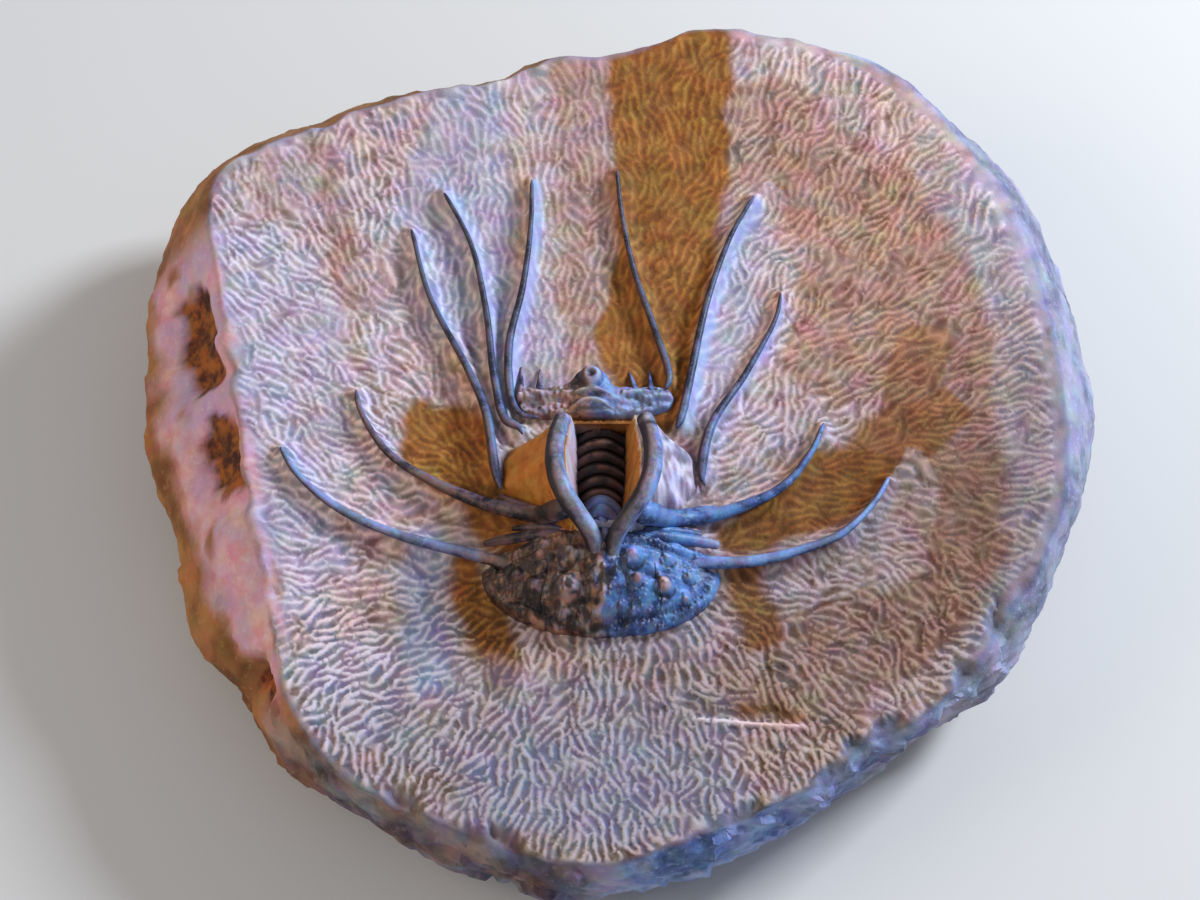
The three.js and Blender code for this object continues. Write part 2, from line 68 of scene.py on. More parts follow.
# %% [markdown]
# ## Camera, light and floor
# The camera looks down on the fossil from the head's side, 60 degrees above the floor, through a long
# lens so that the rock keeps its true outline. The fossil is read by light from the side: a large cool
# lamp on the right draws the ridges, a warm one on the left opens the shadows, and a pale floor fills
# in from below.

# %% Camera
LOOK_AT = Vector((-2.28, -2.813, 22.0)) * MM
CAMERA_TILT = math.radians(60)
CAMERA_DISTANCE = 443 * MM
view_line = Vector((0, math.cos(CAMERA_TILT), -math.sin(CAMERA_TILT)))
camera_data = bpy.data.cameras.new("camera")
camera_data.lens = 100
camera_data.sensor_width = 36
camera_data.clip_end = 10
camera = bpy.data.objects.new("camera", camera_data)
camera.location = LOOK_AT - view_line * CAMERA_DISTANCE
camera.rotation_euler = (math.pi / 2 - CAMERA_TILT, 0, 0)
bpy.context.scene.collection.objects.link(camera)
bpy.context.scene.camera = camera
print("camera height:", round(camera.location.z / MM), "mm")


# %% Lamps and sky
def area_lamp(name, place, size, power, colour):
    """A square soft box that faces the fossil."""
    data = bpy.data.lights.new(name, "AREA")
    data.size = size
    data.energy = power
    data.color = colour
    lamp = bpy.data.objects.new(name, data)
    lamp.location = place
    lamp.rotation_euler = (LOOK_AT - Vector(place)).to_track_quat("-Z", "Y").to_euler()
    bpy.context.scene.collection.objects.link(lamp)
    print("lamp:", name, power, "W")
    return lamp


area_lamp("key_right", (0.42, 0.22, 0.34), 0.14, 3.6, (0.86, 0.92, 1.0))
area_lamp("fill_left", (-0.45, -0.10, 0.35), 0.35, 0.9, (1.0, 0.88, 0.76))
sky = bpy.data.worlds.new("studio")
sky.use_nodes = True
sky.node_tree.nodes["Background"].inputs["Color"].default_value = (0.90, 0.93, 1.0, 1)
sky.node_tree.nodes["Background"].inputs["Strength"].default_value = 0.3
bpy.context.scene.world = sky
bpy.context.scene.view_settings.view_transform = "Standard"

# %% Floor
FLOOR_SIZE = 6.0
floor_mesh = bpy.data.meshes.new("floor")
half = FLOOR_SIZE / 2
corners = [(-half, -half, 0), (half, -half, 0), (half, half, 0), (-half, half, 0)]
floor_mesh.from_pydata(corners, [], [(0, 1, 2, 3)])
floor = bpy.data.objects.new("floor", floor_mesh)
bpy.context.scene.collection.objects.link(floor)
floor_paint = bpy.data.materials.new("floor_paint")
floor_paint.use_nodes = True
floor_paint.node_tree.nodes["Principled BSDF"].inputs["Base Color"].default_value = (0.74, 0.74, 0.73, 1)
floor_paint.node_tree.nodes["Principled BSDF"].inputs["Roughness"].default_value = 0.9
floor_mesh.materials.append(floor_paint)
print("floor:", FLOOR_SIZE, "m wide")

# %% [markdown]
# ## Helpers for shapes
# Stone and shell are made of three kinds of form: smooth lines through a few points, noise that
# roughens them, and closed meshes. `smooth_line` is the same curve as in the solid model, so that the
# two agree. Noise is sampled at real places, so that a grain has one size everywhere.


# %% Lines, noise and meshes
def smooth_line(knots, count, closed=False):
    """Evenly spaced points along a centripetal Catmull-Rom curve."""
    knots = np.asarray(knots, float)
    if closed:
        padded = np.vstack([knots[-1:], knots, knots[:2]])
    else:
        padded = np.vstack([2 * knots[0] - knots[1], knots, 2 * knots[-1] - knots[-2]])
    share = np.linspace(0, 1, 24, endpoint=False)[:, None]
    dense = []
    for p0, p1, p2, p3 in zip(padded, padded[1:], padded[2:], padded[3:]):
        d0, d1, d2 = (max(np.linalg.norm(b - a), 1e-6) ** 0.5 for a, b in ((p0, p1), (p1, p2), (p2, p3)))
        leave = ((p1 - p0) / d0 - (p2 - p0) / (d0 + d1) + (p2 - p1) / d1) * d1
        arrive = ((p2 - p1) / d1 - (p3 - p1) / (d1 + d2) + (p3 - p2) / d2) * d1
        dense.append(p1 + share * leave + share**2 * (3 * (p2 - p1) - 2 * leave - arrive)
                     + share**3 * (2 * (p1 - p2) + leave + arrive))
    dense = np.vstack([*dense, knots[:1] if closed else knots[-1:]])
    run = np.concatenate([[0], np.cumsum(np.linalg.norm(np.diff(dense, axis=0), axis=1))])
    stops = np.linspace(0, run[-1], count, endpoint=not closed)
    return np.column_stack([np.interp(stops, run, dense[:, k]) for k in range(dense.shape[1])])


def soft_noise(points, size, seed=0):
    """Smooth noise from -1 to 1 whose lumps are about `size` millimetres apart."""
    shift = Vector((seed * 17.3, seed * 5.1, seed * 11.7))
    return np.array([noise.noise(Vector(p) / size + shift) for p in points])


def on_plan(x, y):
    """Points on the plan, where the noise of the face is sampled."""
    return np.column_stack([x, y, np.zeros(len(x))])


def chipped_noise(points, size, seed=0):
    """Flat chips from -1 to 1, like broken stone: one tilted plane for each `size` millimetres or so."""
    shift = Vector((seed * 7.7, seed * 3.9, seed * 13.1))
    chips = []
    for p in points:
        place = Vector(p) / size + shift
        heart = noise.voronoi(place)[1][0]
        tilt = noise.cell_vector(heart * 5.3)
        chips.append(0.5 * tilt[0] + (place - heart).dot(tilt))
    return np.clip(chips, -1, 1)


def smooth_step(value, low, high):
    """Rises smoothly from 0 to 1 as value goes from low to high."""
    t = np.clip((value - low) / (high - low), 0, 1)
    return t * t * (3 - 2 * t)


def make_piece(name, points, faces, material, sharp_angle=180.0):
    """A mesh object from drawing coordinates, facing out, with one material."""
    mesh = bpy.data.meshes.new(name)
    mesh.from_pydata(to_frame(points).tolist(), [], [list(map(int, f)) for f in faces])
    mesh.materials.append(material)
    mesh.shade_smooth()
    if sharp_angle < 180:
        mesh.set_sharp_from_angle(angle=math.radians(sharp_angle))
    piece = bpy.data.objects.new(name, mesh)
    bpy.context.scene.collection.objects.link(piece)
    return piece


# %% [markdown]
# ## The rock's broad form
# The rock is a nodule with a flat base, its widest line part of the way up, and a rim where the worked
# face begins. Rim and widest line are kept as the height and distance from the centre for every
# direction. The face is a bowl with a low mound in the middle, a ridge under each spine, and a block of
# rock with a slot in it that carries the two horns.

# %% Rim and widest line
RIM = [
    (58.5, -7.5, 27), (58.5, 5.5, 28), (57, 19.5, 29), (52, 34, 31), (44, 46.5, 32), (33, 56, 32.5),
    (22, 59, 33), (11.5, 60, 33.5), (0.5, 55.5, 33), (-9.5, 54.5, 33), (-18.5, 50.5, 33),
    (-29, 48, 33), (-41, 43, 33), (-54.5, 34.5, 32), (-53.5, 19, 31), (-50.5, 5, 29),
    (-48, -12, 27), (-45.5, -23, 24.5), (-43, -36, 22), (-34.5, -48, 20), (-16.5, -56, 19),
    (-7.5, -59, 18.5), (2.5, -58.5, 18.5), (13.5, -53.5, 19.5), (25.5, -48.5, 20), (31, -43, 21),
    (38.5, -40.5, 21.5), (44.5, -35, 22.5), (50, -26.5, 24), (56, -17, 25.5),
]
WIDEST = [
    (63.5, 1.5, 14), (64, 13.5, 15), (61.5, 26, 16), (57.5, 38, 17), (47, 51.5, 18), (34, 60, 18),
    (12, 62.5, 18), (-10, 58, 18), (-30, 54.5, 18), (-41, 53, 18), (-52.5, 50, 17), (-60, 40.5, 16),
    (-64, 28.5, 15), (-64.5, 15, 14), (-63, 2, 13), (-59.5, -9.5, 12), (-57.5, -21, 11),
    (-50, -30.5, 10), (-44, -39, 9), (-36, -46, 9), (-28, -51.5, 9), (-19, -55.5, 9),
    (-9.5, -58.5, 9), (0, -58.5, 9), (9, -56.5, 9), (17, -52, 9), (25, -47, 9), (32, -42.5, 10),
    (40, -36.5, 10), (48.5, -31, 11), (54.5, -21.5, 12), (59.5, -11, 13),
]


def ring_by_angle(knots):
    """A function that gives a ring's radius and height for any angle around the bowl's centre."""
    line = smooth_line(knots, 20 * len(knots), closed=True)
    dx, dy = line[:, 0] - FACE_CENTRE[0], line[:, 1] - FACE_CENTRE[1]
    angle, radius, height = np.arctan2(dy, dx), np.hypot(dx, dy), line[:, 2]
    return lambda a: (np.interp(a, angle, radius, period=2 * np.pi),
                      np.interp(a, angle, height, period=2 * np.pi))


rim_at = ring_by_angle(RIM)
widest_at = ring_by_angle(WIDEST)
print("rim on the right, distance and height:", [round(float(value), 1) for value in rim_at(0.0)])

# %% Where the spines run
# Name: points on the plan from base to tip, and radius at the base, half way and at the tip.
GENAL_SPINES = {
    "free_cheek_left": ([(-15.0, -20.1), (-20.5, -18.4), (-28.8, -16), (-37, -12.5), (-42.2, -8.2),
                         (-44.3, -4.8)], (0.85, 0.6, 0.35)),
    "free_cheek_right": ([(10.4, -20.1), (16.4, -19.6), (22.6, -18.1), (28.9, -15.6), (33.2, -11.3),
                          (35.4, -7.6)], (0.85, 0.6, 0.35)),
}
BODY_SPINES = {
    "pleural_spine_front_left": ([(-11.2, -14.2), (-17.7, -11.9), (-24.5, -8.4), (-30.6, -4.1), (-34.2, 1.7),
                                  (-34.8, 4.5)], (1.1, 0.6, 0.32)),
    "pleural_spine_front_right": ([(6.6, -14.9), (13.9, -12.8), (21.3, -9), (25.4, -3.6), (27.1, 0.5)],
                                  (1.15, 0.62, 0.32)),
    "pleural_spine_middle_left": ([(-16.1, -7.8), (-17.6, 1.5), (-20.2, 8.4), (-25.5, 19.3), (-28.1, 29)],
                                  (0.7, 0.46, 0.26)),
    "pleural_spine_middle_right": ([(10.8, -7.8), (12.1, -0.7), (17.2, 8.3), (21.2, 16.5), (21.9, 20.1)],
                                   (0.75, 0.46, 0.24)),
    "pleural_spine_rear_left": ([(-13.2, -1.2), (-15, 0.2), (-16.5, 6.5), (-17.9, 17.7), (-20.1, 27.3),
                                 (-23.9, 34.4)], (0.6, 0.45, 0.26)),
    "pleural_spine_rear_right": ([(8.2, 0.2), (9.6, 7.4), (12, 19), (15.3, 28.7), (18.5, 34.6)],
                                 (0.62, 0.46, 0.26)),
    "pygidial_spine_left": ([(-14.5, 5.2), (-14.6, 12.4), (-12.9, 20.7), (-11.9, 29.7), (-11.8, 36.2)],
                            (0.6, 0.45, 0.26)),
    "pygidial_spine_right": ([(6.7, 6.4), (4.9, 13.9), (2.1, 23.1), (0.4, 32), (-0.2, 38)],
                             (0.52, 0.4, 0.24)),
}
spine_lines = {name: smooth_line(route, 120) for name, (route, _) in {**GENAL_SPINES, **BODY_SPINES}.items()}
print("spines:", len(spine_lines), "of", [len(line) for line in spine_lines.values()][0], "points each")

# %% Height of the worked face
FLOOR_Z = 22.0
FLOOR_SLOPE = 0.05
BOWL_POWER = 2.2
MOUND = {"height": 4.5, "x": 20.0, "y": 22.0}
SADDLE = np.array([  # y, half-width at the foot and at the crest, height of the crest
    (-17.9, 4, 3.5, 32.2), (-16, 6.6, 5.6, 34.1), (-13.5, 8.8, 6.7, 34.7), (-11.5, 12.8, 6.9, 34.5),
    (-9.5, 17.1, 7, 34), (-5.6, 18.1, 7, 32.3), (-3.8, 16.5, 6.9, 31.5), (-2, 9.6, 6.6, 30.6),
    (-0.6, 7.6, 6.2, 29.8),
])
SADDLE_FOOT_Z = 21.0
RIGHT_FOOT_TRIM = 2.4  # the block's right foot reaches less far out than the left one
SADDLE_END_SLOPE = 5.0
SLOT = np.array([  # y, half-width at the floor and, around the horns' mid-line, at the top
    (-17.7, 0.7, 1.8), (-16, 1.4, 3.6), (-13, 2.2, 4.9), (-8, 2.8, 5.4), (-0.6, 2.9, 5.2),
])
SLOT_FLOOR_Z = 23.0
SLOT_TOP_Z = 35.5
LEDGE_Z = 27.3  # of the rock left between the slot and the tail plate


def bowl_share(x, y):
    """How far out a place lies, from 0 at the bowl's centre to 1 at the rim, and the rim's height there."""
    dx, dy = x - FACE_CENTRE[0], y - FACE_CENTRE[1]
    rim_radius, rim_z = rim_at(np.arctan2(dy, dx))
    return np.hypot(dx, dy) / rim_radius, rim_z


def bowl_height(x, y):
    """The bowl and its mound, without ridges, block or slot."""
    share, rim_z = bowl_share(x, y)
    floor_z = FLOOR_Z + FLOOR_SLOPE * y
    bowl = floor_z + (rim_z - floor_z) * np.clip(share, 0, 1.1) ** BOWL_POWER
    dx, dy = (x - FACE_CENTRE[0]) / MOUND["x"], (y - FACE_CENTRE[1]) / MOUND["y"]
    mound = MOUND["height"] * np.exp(-dx**2 - dy**2)
    return bowl + mound * np.clip((1 - share) * 12, 0, 1)


def saddle_height(x, y):
    """The block of rock under the horns."""
    foot, crest, top = (np.interp(y, SADDLE[:, 0], SADDLE[:, k]) for k in (1, 2, 3))
    foot = foot - RIGHT_FOOT_TRIM * (x > HORN_X) * smooth_step(foot, 11, 15)
    side = np.clip((foot - np.abs(x - HORN_X)) / (foot - crest), 0, 1)
    block = SADDLE_FOOT_Z + (top - SADDLE_FOOT_Z) * side
    past_end = np.maximum(y - SADDLE[-1, 0], SADDLE[0, 0] - y)
    return block - SADDLE_END_SLOPE * np.clip(past_end, 0, None)


def slot_height(x, y):
    """Height of the slot's floor, walls and rear ledge; far above everything outside the slot."""
    floor_half, top_half = (np.interp(y, SLOT[:, 0], SLOT[:, k]) for k in (1, 2))
    right = (x - AXIS_X - floor_half) / (HORN_X + top_half - AXIS_X - floor_half)
    left = (AXIS_X - floor_half - x) / (AXIS_X - floor_half - HORN_X + top_half)
    wall = SLOT_FLOOR_Z + (SLOT_TOP_Z - SLOT_FLOOR_Z) * np.clip(np.maximum(right, left), 0, 9)
    inside = (y > SLOT[0, 0]) & (y < SLOT[-1, 0])
    on_ledge = (y >= SLOT[-1, 0]) & (y < 2.5) & (np.abs(x - HORN_X) < SLOT[-1, 2] - 1)
    return np.where(inside, wall, np.where(on_ledge, LEDGE_Z, FAR))


probe_x, probe_y = np.array([AXIS_X, 40.0, AXIS_X - 6.3]), np.array([30.0, 10.0, -8.0])
print("bowl:", bowl_height(probe_x, probe_y).round(1), "block:", saddle_height(probe_x, probe_y).round(1))

# %% [markdown]
# ## Scribe strokes
# The preparer's vibrating scribe leaves thousands of short furrows with a net of bruised, pale ridges
# between them. They could be a bump texture, but at this scale they are real relief and give the rock
# its whole character, so they are modelled. Strokes are grown one from another along a flow field that
# fans out from the fossil and swirls from patch to patch; a map of the places already taken keeps them
# a stroke's width apart.

# %% The direction the scribe moved in
FLOW_CELL = 0.5  # mm between the places where the direction is worked out
FLOW_REACH = 68.0
flow_axis = np.arange(-FLOW_REACH, FLOW_REACH, FLOW_CELL)
flow_x, flow_y = np.meshgrid(flow_axis, flow_axis, indexing="ij")
flow_places = on_plan(flow_x.ravel(), flow_y.ravel())
FAN_X, FAN_Y, FAN_Y_FAR_RIGHT = AXIS_X, -19.7, -3.0  # the strokes fan out from here
fan_y = FAN_Y + (FAN_Y_FAR_RIGHT - FAN_Y) * smooth_step(flow_x, 20, 42)
# The fan is drawn out lengthwise, most of all in front.
steepness = 1.4 + 1.6 * smooth_step(-flow_y, 38, 50)
outwards = np.arctan2(steepness * (flow_y - fan_y), flow_x - FAN_X)
wander = 0.45 * soft_noise(flow_places, 14, 1) + 0.75 * soft_noise(flow_places, 5.5, 2)
wander = wander + 0.9 * soft_noise(flow_places, 2.4, 3)
flow_angle = outwards + wander.reshape(outwards.shape)
print("flow grid:", flow_angle.shape)


def flow_cell(x, y):
    """Cell of the flow's grid that a place lies in."""
    return int((x + FLOW_REACH) / FLOW_CELL), int((y + FLOW_REACH) / FLOW_CELL)


# %% A map of taken places
class TakenMap:
    """A fine grid that remembers which places lie within reach of a point that was already placed."""

    def __init__(self, cell):
        self.cell = cell
        self.taken = np.zeros((int(2 * FLOW_REACH / cell),) * 2, bool)
        self.discs = {}

    def spot(self, x, y):
        """Cell that a place lies in."""
        return int((x + FLOW_REACH) / self.cell), int((y + FLOW_REACH) / self.cell)

    def free(self, x, y):
        """True where nothing lies yet."""
        return not self.taken[self.spot(x, y)]

    def take(self, x, y, reach):
        """Marks a disc round a place as taken."""
        r = int(round(reach / self.cell))
        if r not in self.discs:
            step = np.arange(-r, r + 1)
            self.discs[r] = step[:, None] ** 2 + step[None, :] ** 2 <= r * r
        i, j = self.spot(x, y)
        self.taken[i - r:i + r + 1, j - r:j + r + 1] |= self.discs[r]


# %% Growing the strokes
STROKE_STEP = 0.38  # between two points of a stroke
START_REACH = 60
START_COUNT = 6000  # scattered places, tried when no place beside a stroke is left
STROKE_LENGTHS = (2.4, 7.5)
STROKE_TILT = 0.42  # how much single strokes stray from the flow, in radians


def stroke_pitch(x):
    """From one stroke to the next beside it: finer towards the right of the rock."""
    return float(1.1 - 0.07 * smooth_step(x, -15, 30))


def bevel_share(angle):
    """How far the smooth edge reaches in from the rim: a bevel on the right, a narrow lip elsewhere."""
    return 0.003 + 0.027 * smooth_step(np.cos(angle - math.radians(25)), 0.1, 0.8)


def on_face(x, y):
    """Where the scribe worked."""
    angle = np.arctan2(np.asarray(y) - FACE_CENTRE[1], np.asarray(x) - FACE_CENTRE[0])
    return bowl_share(np.array(x), np.array(y))[0] < 1 - bevel_share(angle)


face_map = on_face(flow_x, flow_y)


def grow_strokes():
    """Strokes as lists of (x, y), each a pitch away from its neighbours."""
    beside, along = TakenMap(0.1), TakenMap(0.1)
    queue = deque([(12.0, 20.0)])
    scattered = random.uniform(-START_REACH, START_REACH, (START_COUNT, 2)).tolist()
    strokes = []
    while queue or scattered:
        x, y = queue.popleft() if queue else scattered.pop()
        if not beside.free(x, y) or not face_map[flow_cell(x, y)]:
            continue
        length = random.uniform(*STROKE_LENGTHS)
        pitch = stroke_pitch(x)
        tilt = random.normal(0, STROKE_TILT)
        line = deque([(x, y)])
        for way in (1, -1):
            px, py = x, y
            for _ in range(int(length / STROKE_STEP / 2)):
                angle = flow_angle[flow_cell(px, py)] + tilt
                px += way * STROKE_STEP * math.cos(angle)
                py += way * STROKE_STEP * math.sin(angle)
                if not along.free(px, py) or not face_map[flow_cell(px, py)]:
                    break
                (line.append if way == 1 else line.appendleft)((px, py))
        if len(line) < 3:
            continue
        for k, (px, py) in enumerate(line):
            at_end = k in (0, len(line) - 1)
            beside.take(px, py, pitch * (0.75 if at_end else 0.93))
            along.take(px, py, pitch * (0.5 if at_end else 0.62))
            angle = flow_angle[flow_cell(px, py)]
            for side in (pitch, -pitch):
                queue.append((px - side * math.sin(angle), py + side * math.cos(angle)))
        strokes.append(list(line))
    return strokes


strokes = grow_strokes()
print("strokes:", len(strokes), "points:", sum(map(len, strokes)))

# %% [markdown]
# ## The rock as one closed mesh
# A regular grid fine enough for the strokes would need a million faces. Instead the points follow the
# strokes: a row along each furrow, a row on the crest half way to the next one, and a scatter that
# fills what is left, closer together on the steep walls of the block. A Delaunay triangulation joins
# them, the flank is a loft from the rim down, and both share the rim's points, so the rock is one
# closed skin.

# %% Points on the face
RIM_POINTS = 480
RIM_NOISE_RADIUS = 50  # of the circle on which the rim's noise is sampled
FURROW_SPACING = 0.27
CREST_SPACING = 0.25
FILL_SPACING = 0.32
STEEP_SPACING = 0.22
SCATTER_REACH = 66
SCATTER_COUNT = 520000
BLOCK_SCATTER_COUNT = 70000
FILLED_SHARE = 0.992  # of the way to the rim, beyond which the rim's own points follow
CREST_TRIES = 150000  # so many of the scattered places are first tried on the nearest crest
CAP_LOSS = 0.65  # how much lower the rock is between the ends of two furrows than between their sides
NET_VALUE = 0.42  # brightness of worked rock without furrows
# How high the rock stands on the way from a furrow (0) to the crest between it and the next (1).
RIDGE_SHARES, RIDGE_VALUES = (0, 0.35, 0.75, 1), (0, 0.15, 0.6, 1)

# %% Points on the rim
rim_angles = np.linspace(-math.pi, math.pi, RIM_POINTS, endpoint=False)
rim_radius, rim_z = rim_at(rim_angles)
rim_places = on_plan(np.cos(rim_angles), np.sin(rim_angles))
rim_noise_places = rim_places * RIM_NOISE_RADIUS
rim_radius = rim_radius + 0.7 * soft_noise(rim_noise_places, 6.5, 4)
rim_radius = rim_radius + 0.45 * soft_noise(rim_noise_places, 2.2, 5)
rim_radius = rim_radius + 0.7 * np.clip(-np.cos(rim_angles), 0, 1) * soft_noise(rim_noise_places, 3.2, 6)
rim_xy = FACE_CENTRE + rim_radius[:, None] * rim_places[:, :2]


def on_block(x, y):
    """True on the block of rock under the horns and round its foot."""
    return saddle_height(x, y) > bowl_height(x, y) - 0.3


def face_points():
    """Places of the face's points, and how high each stands in the net: 0 in a furrow, 1 on a ridge."""
    near = TakenMap(0.05)
    places, net = [], []

    def add(x, y, value, reach):
        """Keeps a point and its height in the net, and marks the space round it as taken."""
        places.append((x, y))
        net.append(value)
        near.take(x, y, reach)

    furrows = KDTree(sum(map(len, strokes)))
    owner = []
    for number, stroke in enumerate(strokes):
        for x, y in stroke:
            furrows.insert((x, y, 0), len(owner))
            owner.append(number)
            add(x, y, 0.25 * random.uniform(0, 1), FURROW_SPACING)
    furrows.balance()

    def two_furrows(x, y):
        """The nearest points of the two nearest furrows, with distances, and the height of their crest."""
        found = furrows.find_n((x, y, 0), 12)
        first = found[0]
        second = next((f for f in found if owner[f[1]] != owner[first[1]]), found[-1])
        gap = second[0] - first[0]
        angle = flow_angle[flow_cell(x, y)]
        end_to_end = (gap.x * math.cos(angle) + gap.y * math.sin(angle)) ** 2 / max(gap.length_squared, 1e-9)
        return first[0], first[2], second[0], second[2], 1 - CAP_LOSS * end_to_end

    scatter = random.uniform(-SCATTER_REACH, SCATTER_REACH, (SCATTER_COUNT, 2))
    scatter = scatter[bowl_share(scatter[:, 0], scatter[:, 1])[0] < FILLED_SHARE]
    for x, y in scatter[:CREST_TRIES].tolist():
        if face_map[flow_cell(x, y)]:
            first, near_by, second, far_off, crest = two_furrows(x, y)
            gap = second - first
            step = (far_off**2 - near_by**2) / (2 * gap.length_squared)
            x, y = x + step * gap.x, y + step * gap.y
            if near.free(x, y) and face_map[flow_cell(x, y)]:
                add(x, y, crest * random.uniform(0.9, 1.1), CREST_SPACING)
    for x, y in scatter.tolist():
        if near.free(x, y):
            worked = face_map[flow_cell(x, y)]
            _, near_by, _, far_off, crest = two_furrows(x, y)
            value = crest * float(np.interp(2 * near_by / (near_by + far_off), RIDGE_SHARES, RIDGE_VALUES))
            add(x, y, value if worked else NET_VALUE, FILL_SPACING if worked else 1.6 * FILL_SPACING)
    return np.array(places), np.array(net)


# %% Points on the block under the horns
def slot_lines():
    """Rows of points along the lower and upper edges of the slot's walls, which keep the walls clean."""
    y = np.arange(SLOT[0, 0] + 0.1, SLOT[-1, 0], 0.2)
    floor_half, top_half = (np.interp(y, SLOT[:, 0], SLOT[:, k]) for k in (1, 2))
    up = (np.interp(y, SADDLE[:, 0], SADDLE[:, 3]) - SLOT_FLOOR_Z) / (SLOT_TOP_Z - SLOT_FLOOR_Z)
    rows = []
    for sign in (1, -1):
        low, high = AXIS_X + sign * floor_half, HORN_X + sign * top_half
        rows += [np.column_stack([low, y]), np.column_stack([low + (high - low) * up, y])]
    x = np.arange(AXIS_X - SLOT[-1, 1] - 0.4, AXIS_X + SLOT[-1, 1] + 0.9, 0.2)
    for behind in (-0.04, 0.04):
        rows.append(np.column_stack([x, np.full(len(x), SLOT[-1, 0] + behind)]))
    return np.vstack(rows)


face_xy, face_net = face_points()
steep = on_block(face_xy[:, 0], face_xy[:, 1])
face_xy, face_net = face_xy[~steep], face_net[~steep]
block_xy = slot_lines().tolist()
block_map = TakenMap(0.05)
for bx, by in block_xy:
    block_map.take(bx, by, 0.14)
block_scatter = random.uniform((-22, -21), (18, 4), (BLOCK_SCATTER_COUNT, 2))
block_scatter = block_scatter[on_block(block_scatter[:, 0], block_scatter[:, 1])]
for bx, by in block_scatter.tolist():
    if block_map.free(bx, by):
        block_xy.append((bx, by))
        block_map.take(bx, by, STEEP_SPACING)
print("face points:", len(face_xy), "on the block:", len(block_xy))

# %% Heights of the face
RIDGE_HEIGHT = 1.9  # of the rock left under each spine
RIDGE_WIDTH = 1.15
STROKE_RELIEF = 0.3
CHIP_DEPTH = 1.3
BEVEL_DROP = 30.0  # drop of the bevel at the rim, for each share of its width
SHOULDER_HALF = 15.5
SHOULDER_FOOT_Z = 23.2
SHOULDER_RISE = 5.8


def ridge_height(x, y):
    """Rise of the ridges under the spines."""
    rise = np.zeros(len(x))
    for line in spine_lines.values():
        low, high = line.min(axis=0) - 4, line.max(axis=0) + 4
        close = np.flatnonzero((x > low[0]) & (x < high[0]) & (y > low[1]) & (y < high[1]))
        away = np.full(len(close), FAR)
        for px, py in line[::2]:
            away = np.minimum(away, np.hypot(x[close] - px, y[close] - py))
        rise[close] = np.maximum(rise[close], RIDGE_HEIGHT * np.exp(-(away / RIDGE_WIDTH) ** 2))
    return rise


def step_edge(x, y):
    """A thin straight rib left in front of the head, on the right."""
    across = y + 40.1 + 0.09 * (x - 9.6)
    return np.exp(-(across / 0.35) ** 2) * smooth_step(x, 8, 10.5) * smooth_step(-x, -25.5, -22)


def open_rock_height(x, y):
    """Height of the face without strokes, block and slot."""
    share, _ = bowl_share(x, y)
    places = on_plan(x, y)
    uneven = 0.5 * soft_noise(places, 13, 6) + 0.22 * soft_noise(places, 5, 7)
    bevel = bevel_share(np.arctan2(y - FACE_CENTRE[1], x - FACE_CENTRE[0]))
    drop = BEVEL_DROP * bevel * smooth_step(share, 1 - 1.5 * bevel, 1.02)
    return (bowl_height(x, y) + uneven * np.clip((1 - share) * 8, 0, 1) - drop + 0.4 * step_edge(x, y)
            + ridge_height(x, y) * np.clip((1 - share) * 12, 0, 1))


def shoulder_height(x, y):
    """The arched back of the thorax between the head and the block, on which the side ribs lie."""
    away = (x - AXIS_X) / SHOULDER_HALF
    reach = smooth_step(y, -18.6, -18.2) * smooth_step(-y, 13.2 + 1.4 * np.clip(np.abs(away), 0, 1), 15.2)
    return np.where(reach > 0.01, SHOULDER_FOOT_Z + SHOULDER_RISE * (1 - away**2) * reach, 0)


def rock_height(x, y):
    """Height of the finished face, without strokes."""
    rock = np.maximum(np.maximum(open_rock_height(x, y), shoulder_height(x, y)), saddle_height(x, y))
    return np.minimum(rock, slot_height(x, y))


plan = np.vstack([rim_xy, face_xy, np.array(block_xy)])
net = np.concatenate([np.full(RIM_POINTS, NET_VALUE), face_net, np.full(len(block_xy), NET_VALUE)])
rim_edges = [(k, (k + 1) % RIM_POINTS) for k in range(RIM_POINTS)]
joined = delaunay_2d_cdt([Vector(p) for p in plan], rim_edges, [], 1, 1e-5)
assert len(joined[0]) == len(plan), "points were merged"
face_faces = np.array([ids[0] for ids in joined[3]])[np.array(joined[2])]
print("face triangles:", len(face_faces))


def evened(values, share):
    """Values at the face's points, moved towards the mean of their neighbours."""
    total, count = np.zeros(len(values)), np.zeros(len(values))
    for a, b in ((0, 1), (1, 2), (2, 0), (1, 0), (2, 1), (0, 2)):
        total += np.bincount(face_faces[:, a], values[face_faces[:, b]], len(values))
        count += np.bincount(face_faces[:, a], None, len(values))
    return values + share * (total / np.maximum(count, 1) - values)


net = evened(net, 0.2)

# %% Where the worked rock is smooth
def beside_spine(x, y, name, reach):
    """Signed distance from a spine on the plan: positive on its left from base to tip, FAR away from it."""
    line = spine_lines[name]
    best, sign = np.full(len(x), FAR), np.zeros(len(x))
    for (ax, ay), (bx, by) in zip(line[:-3:3], line[3::3]):
        away = np.hypot(x - (ax + bx) / 2, y - (ay + by) / 2)
        turn = np.sign((bx - ax) * (y - ay) - (by - ay) * (x - ax))
        closer = away < best
        best[closer], sign[closer] = away[closer], turn[closer]
    return np.where(best < reach, best * sign, FAR)


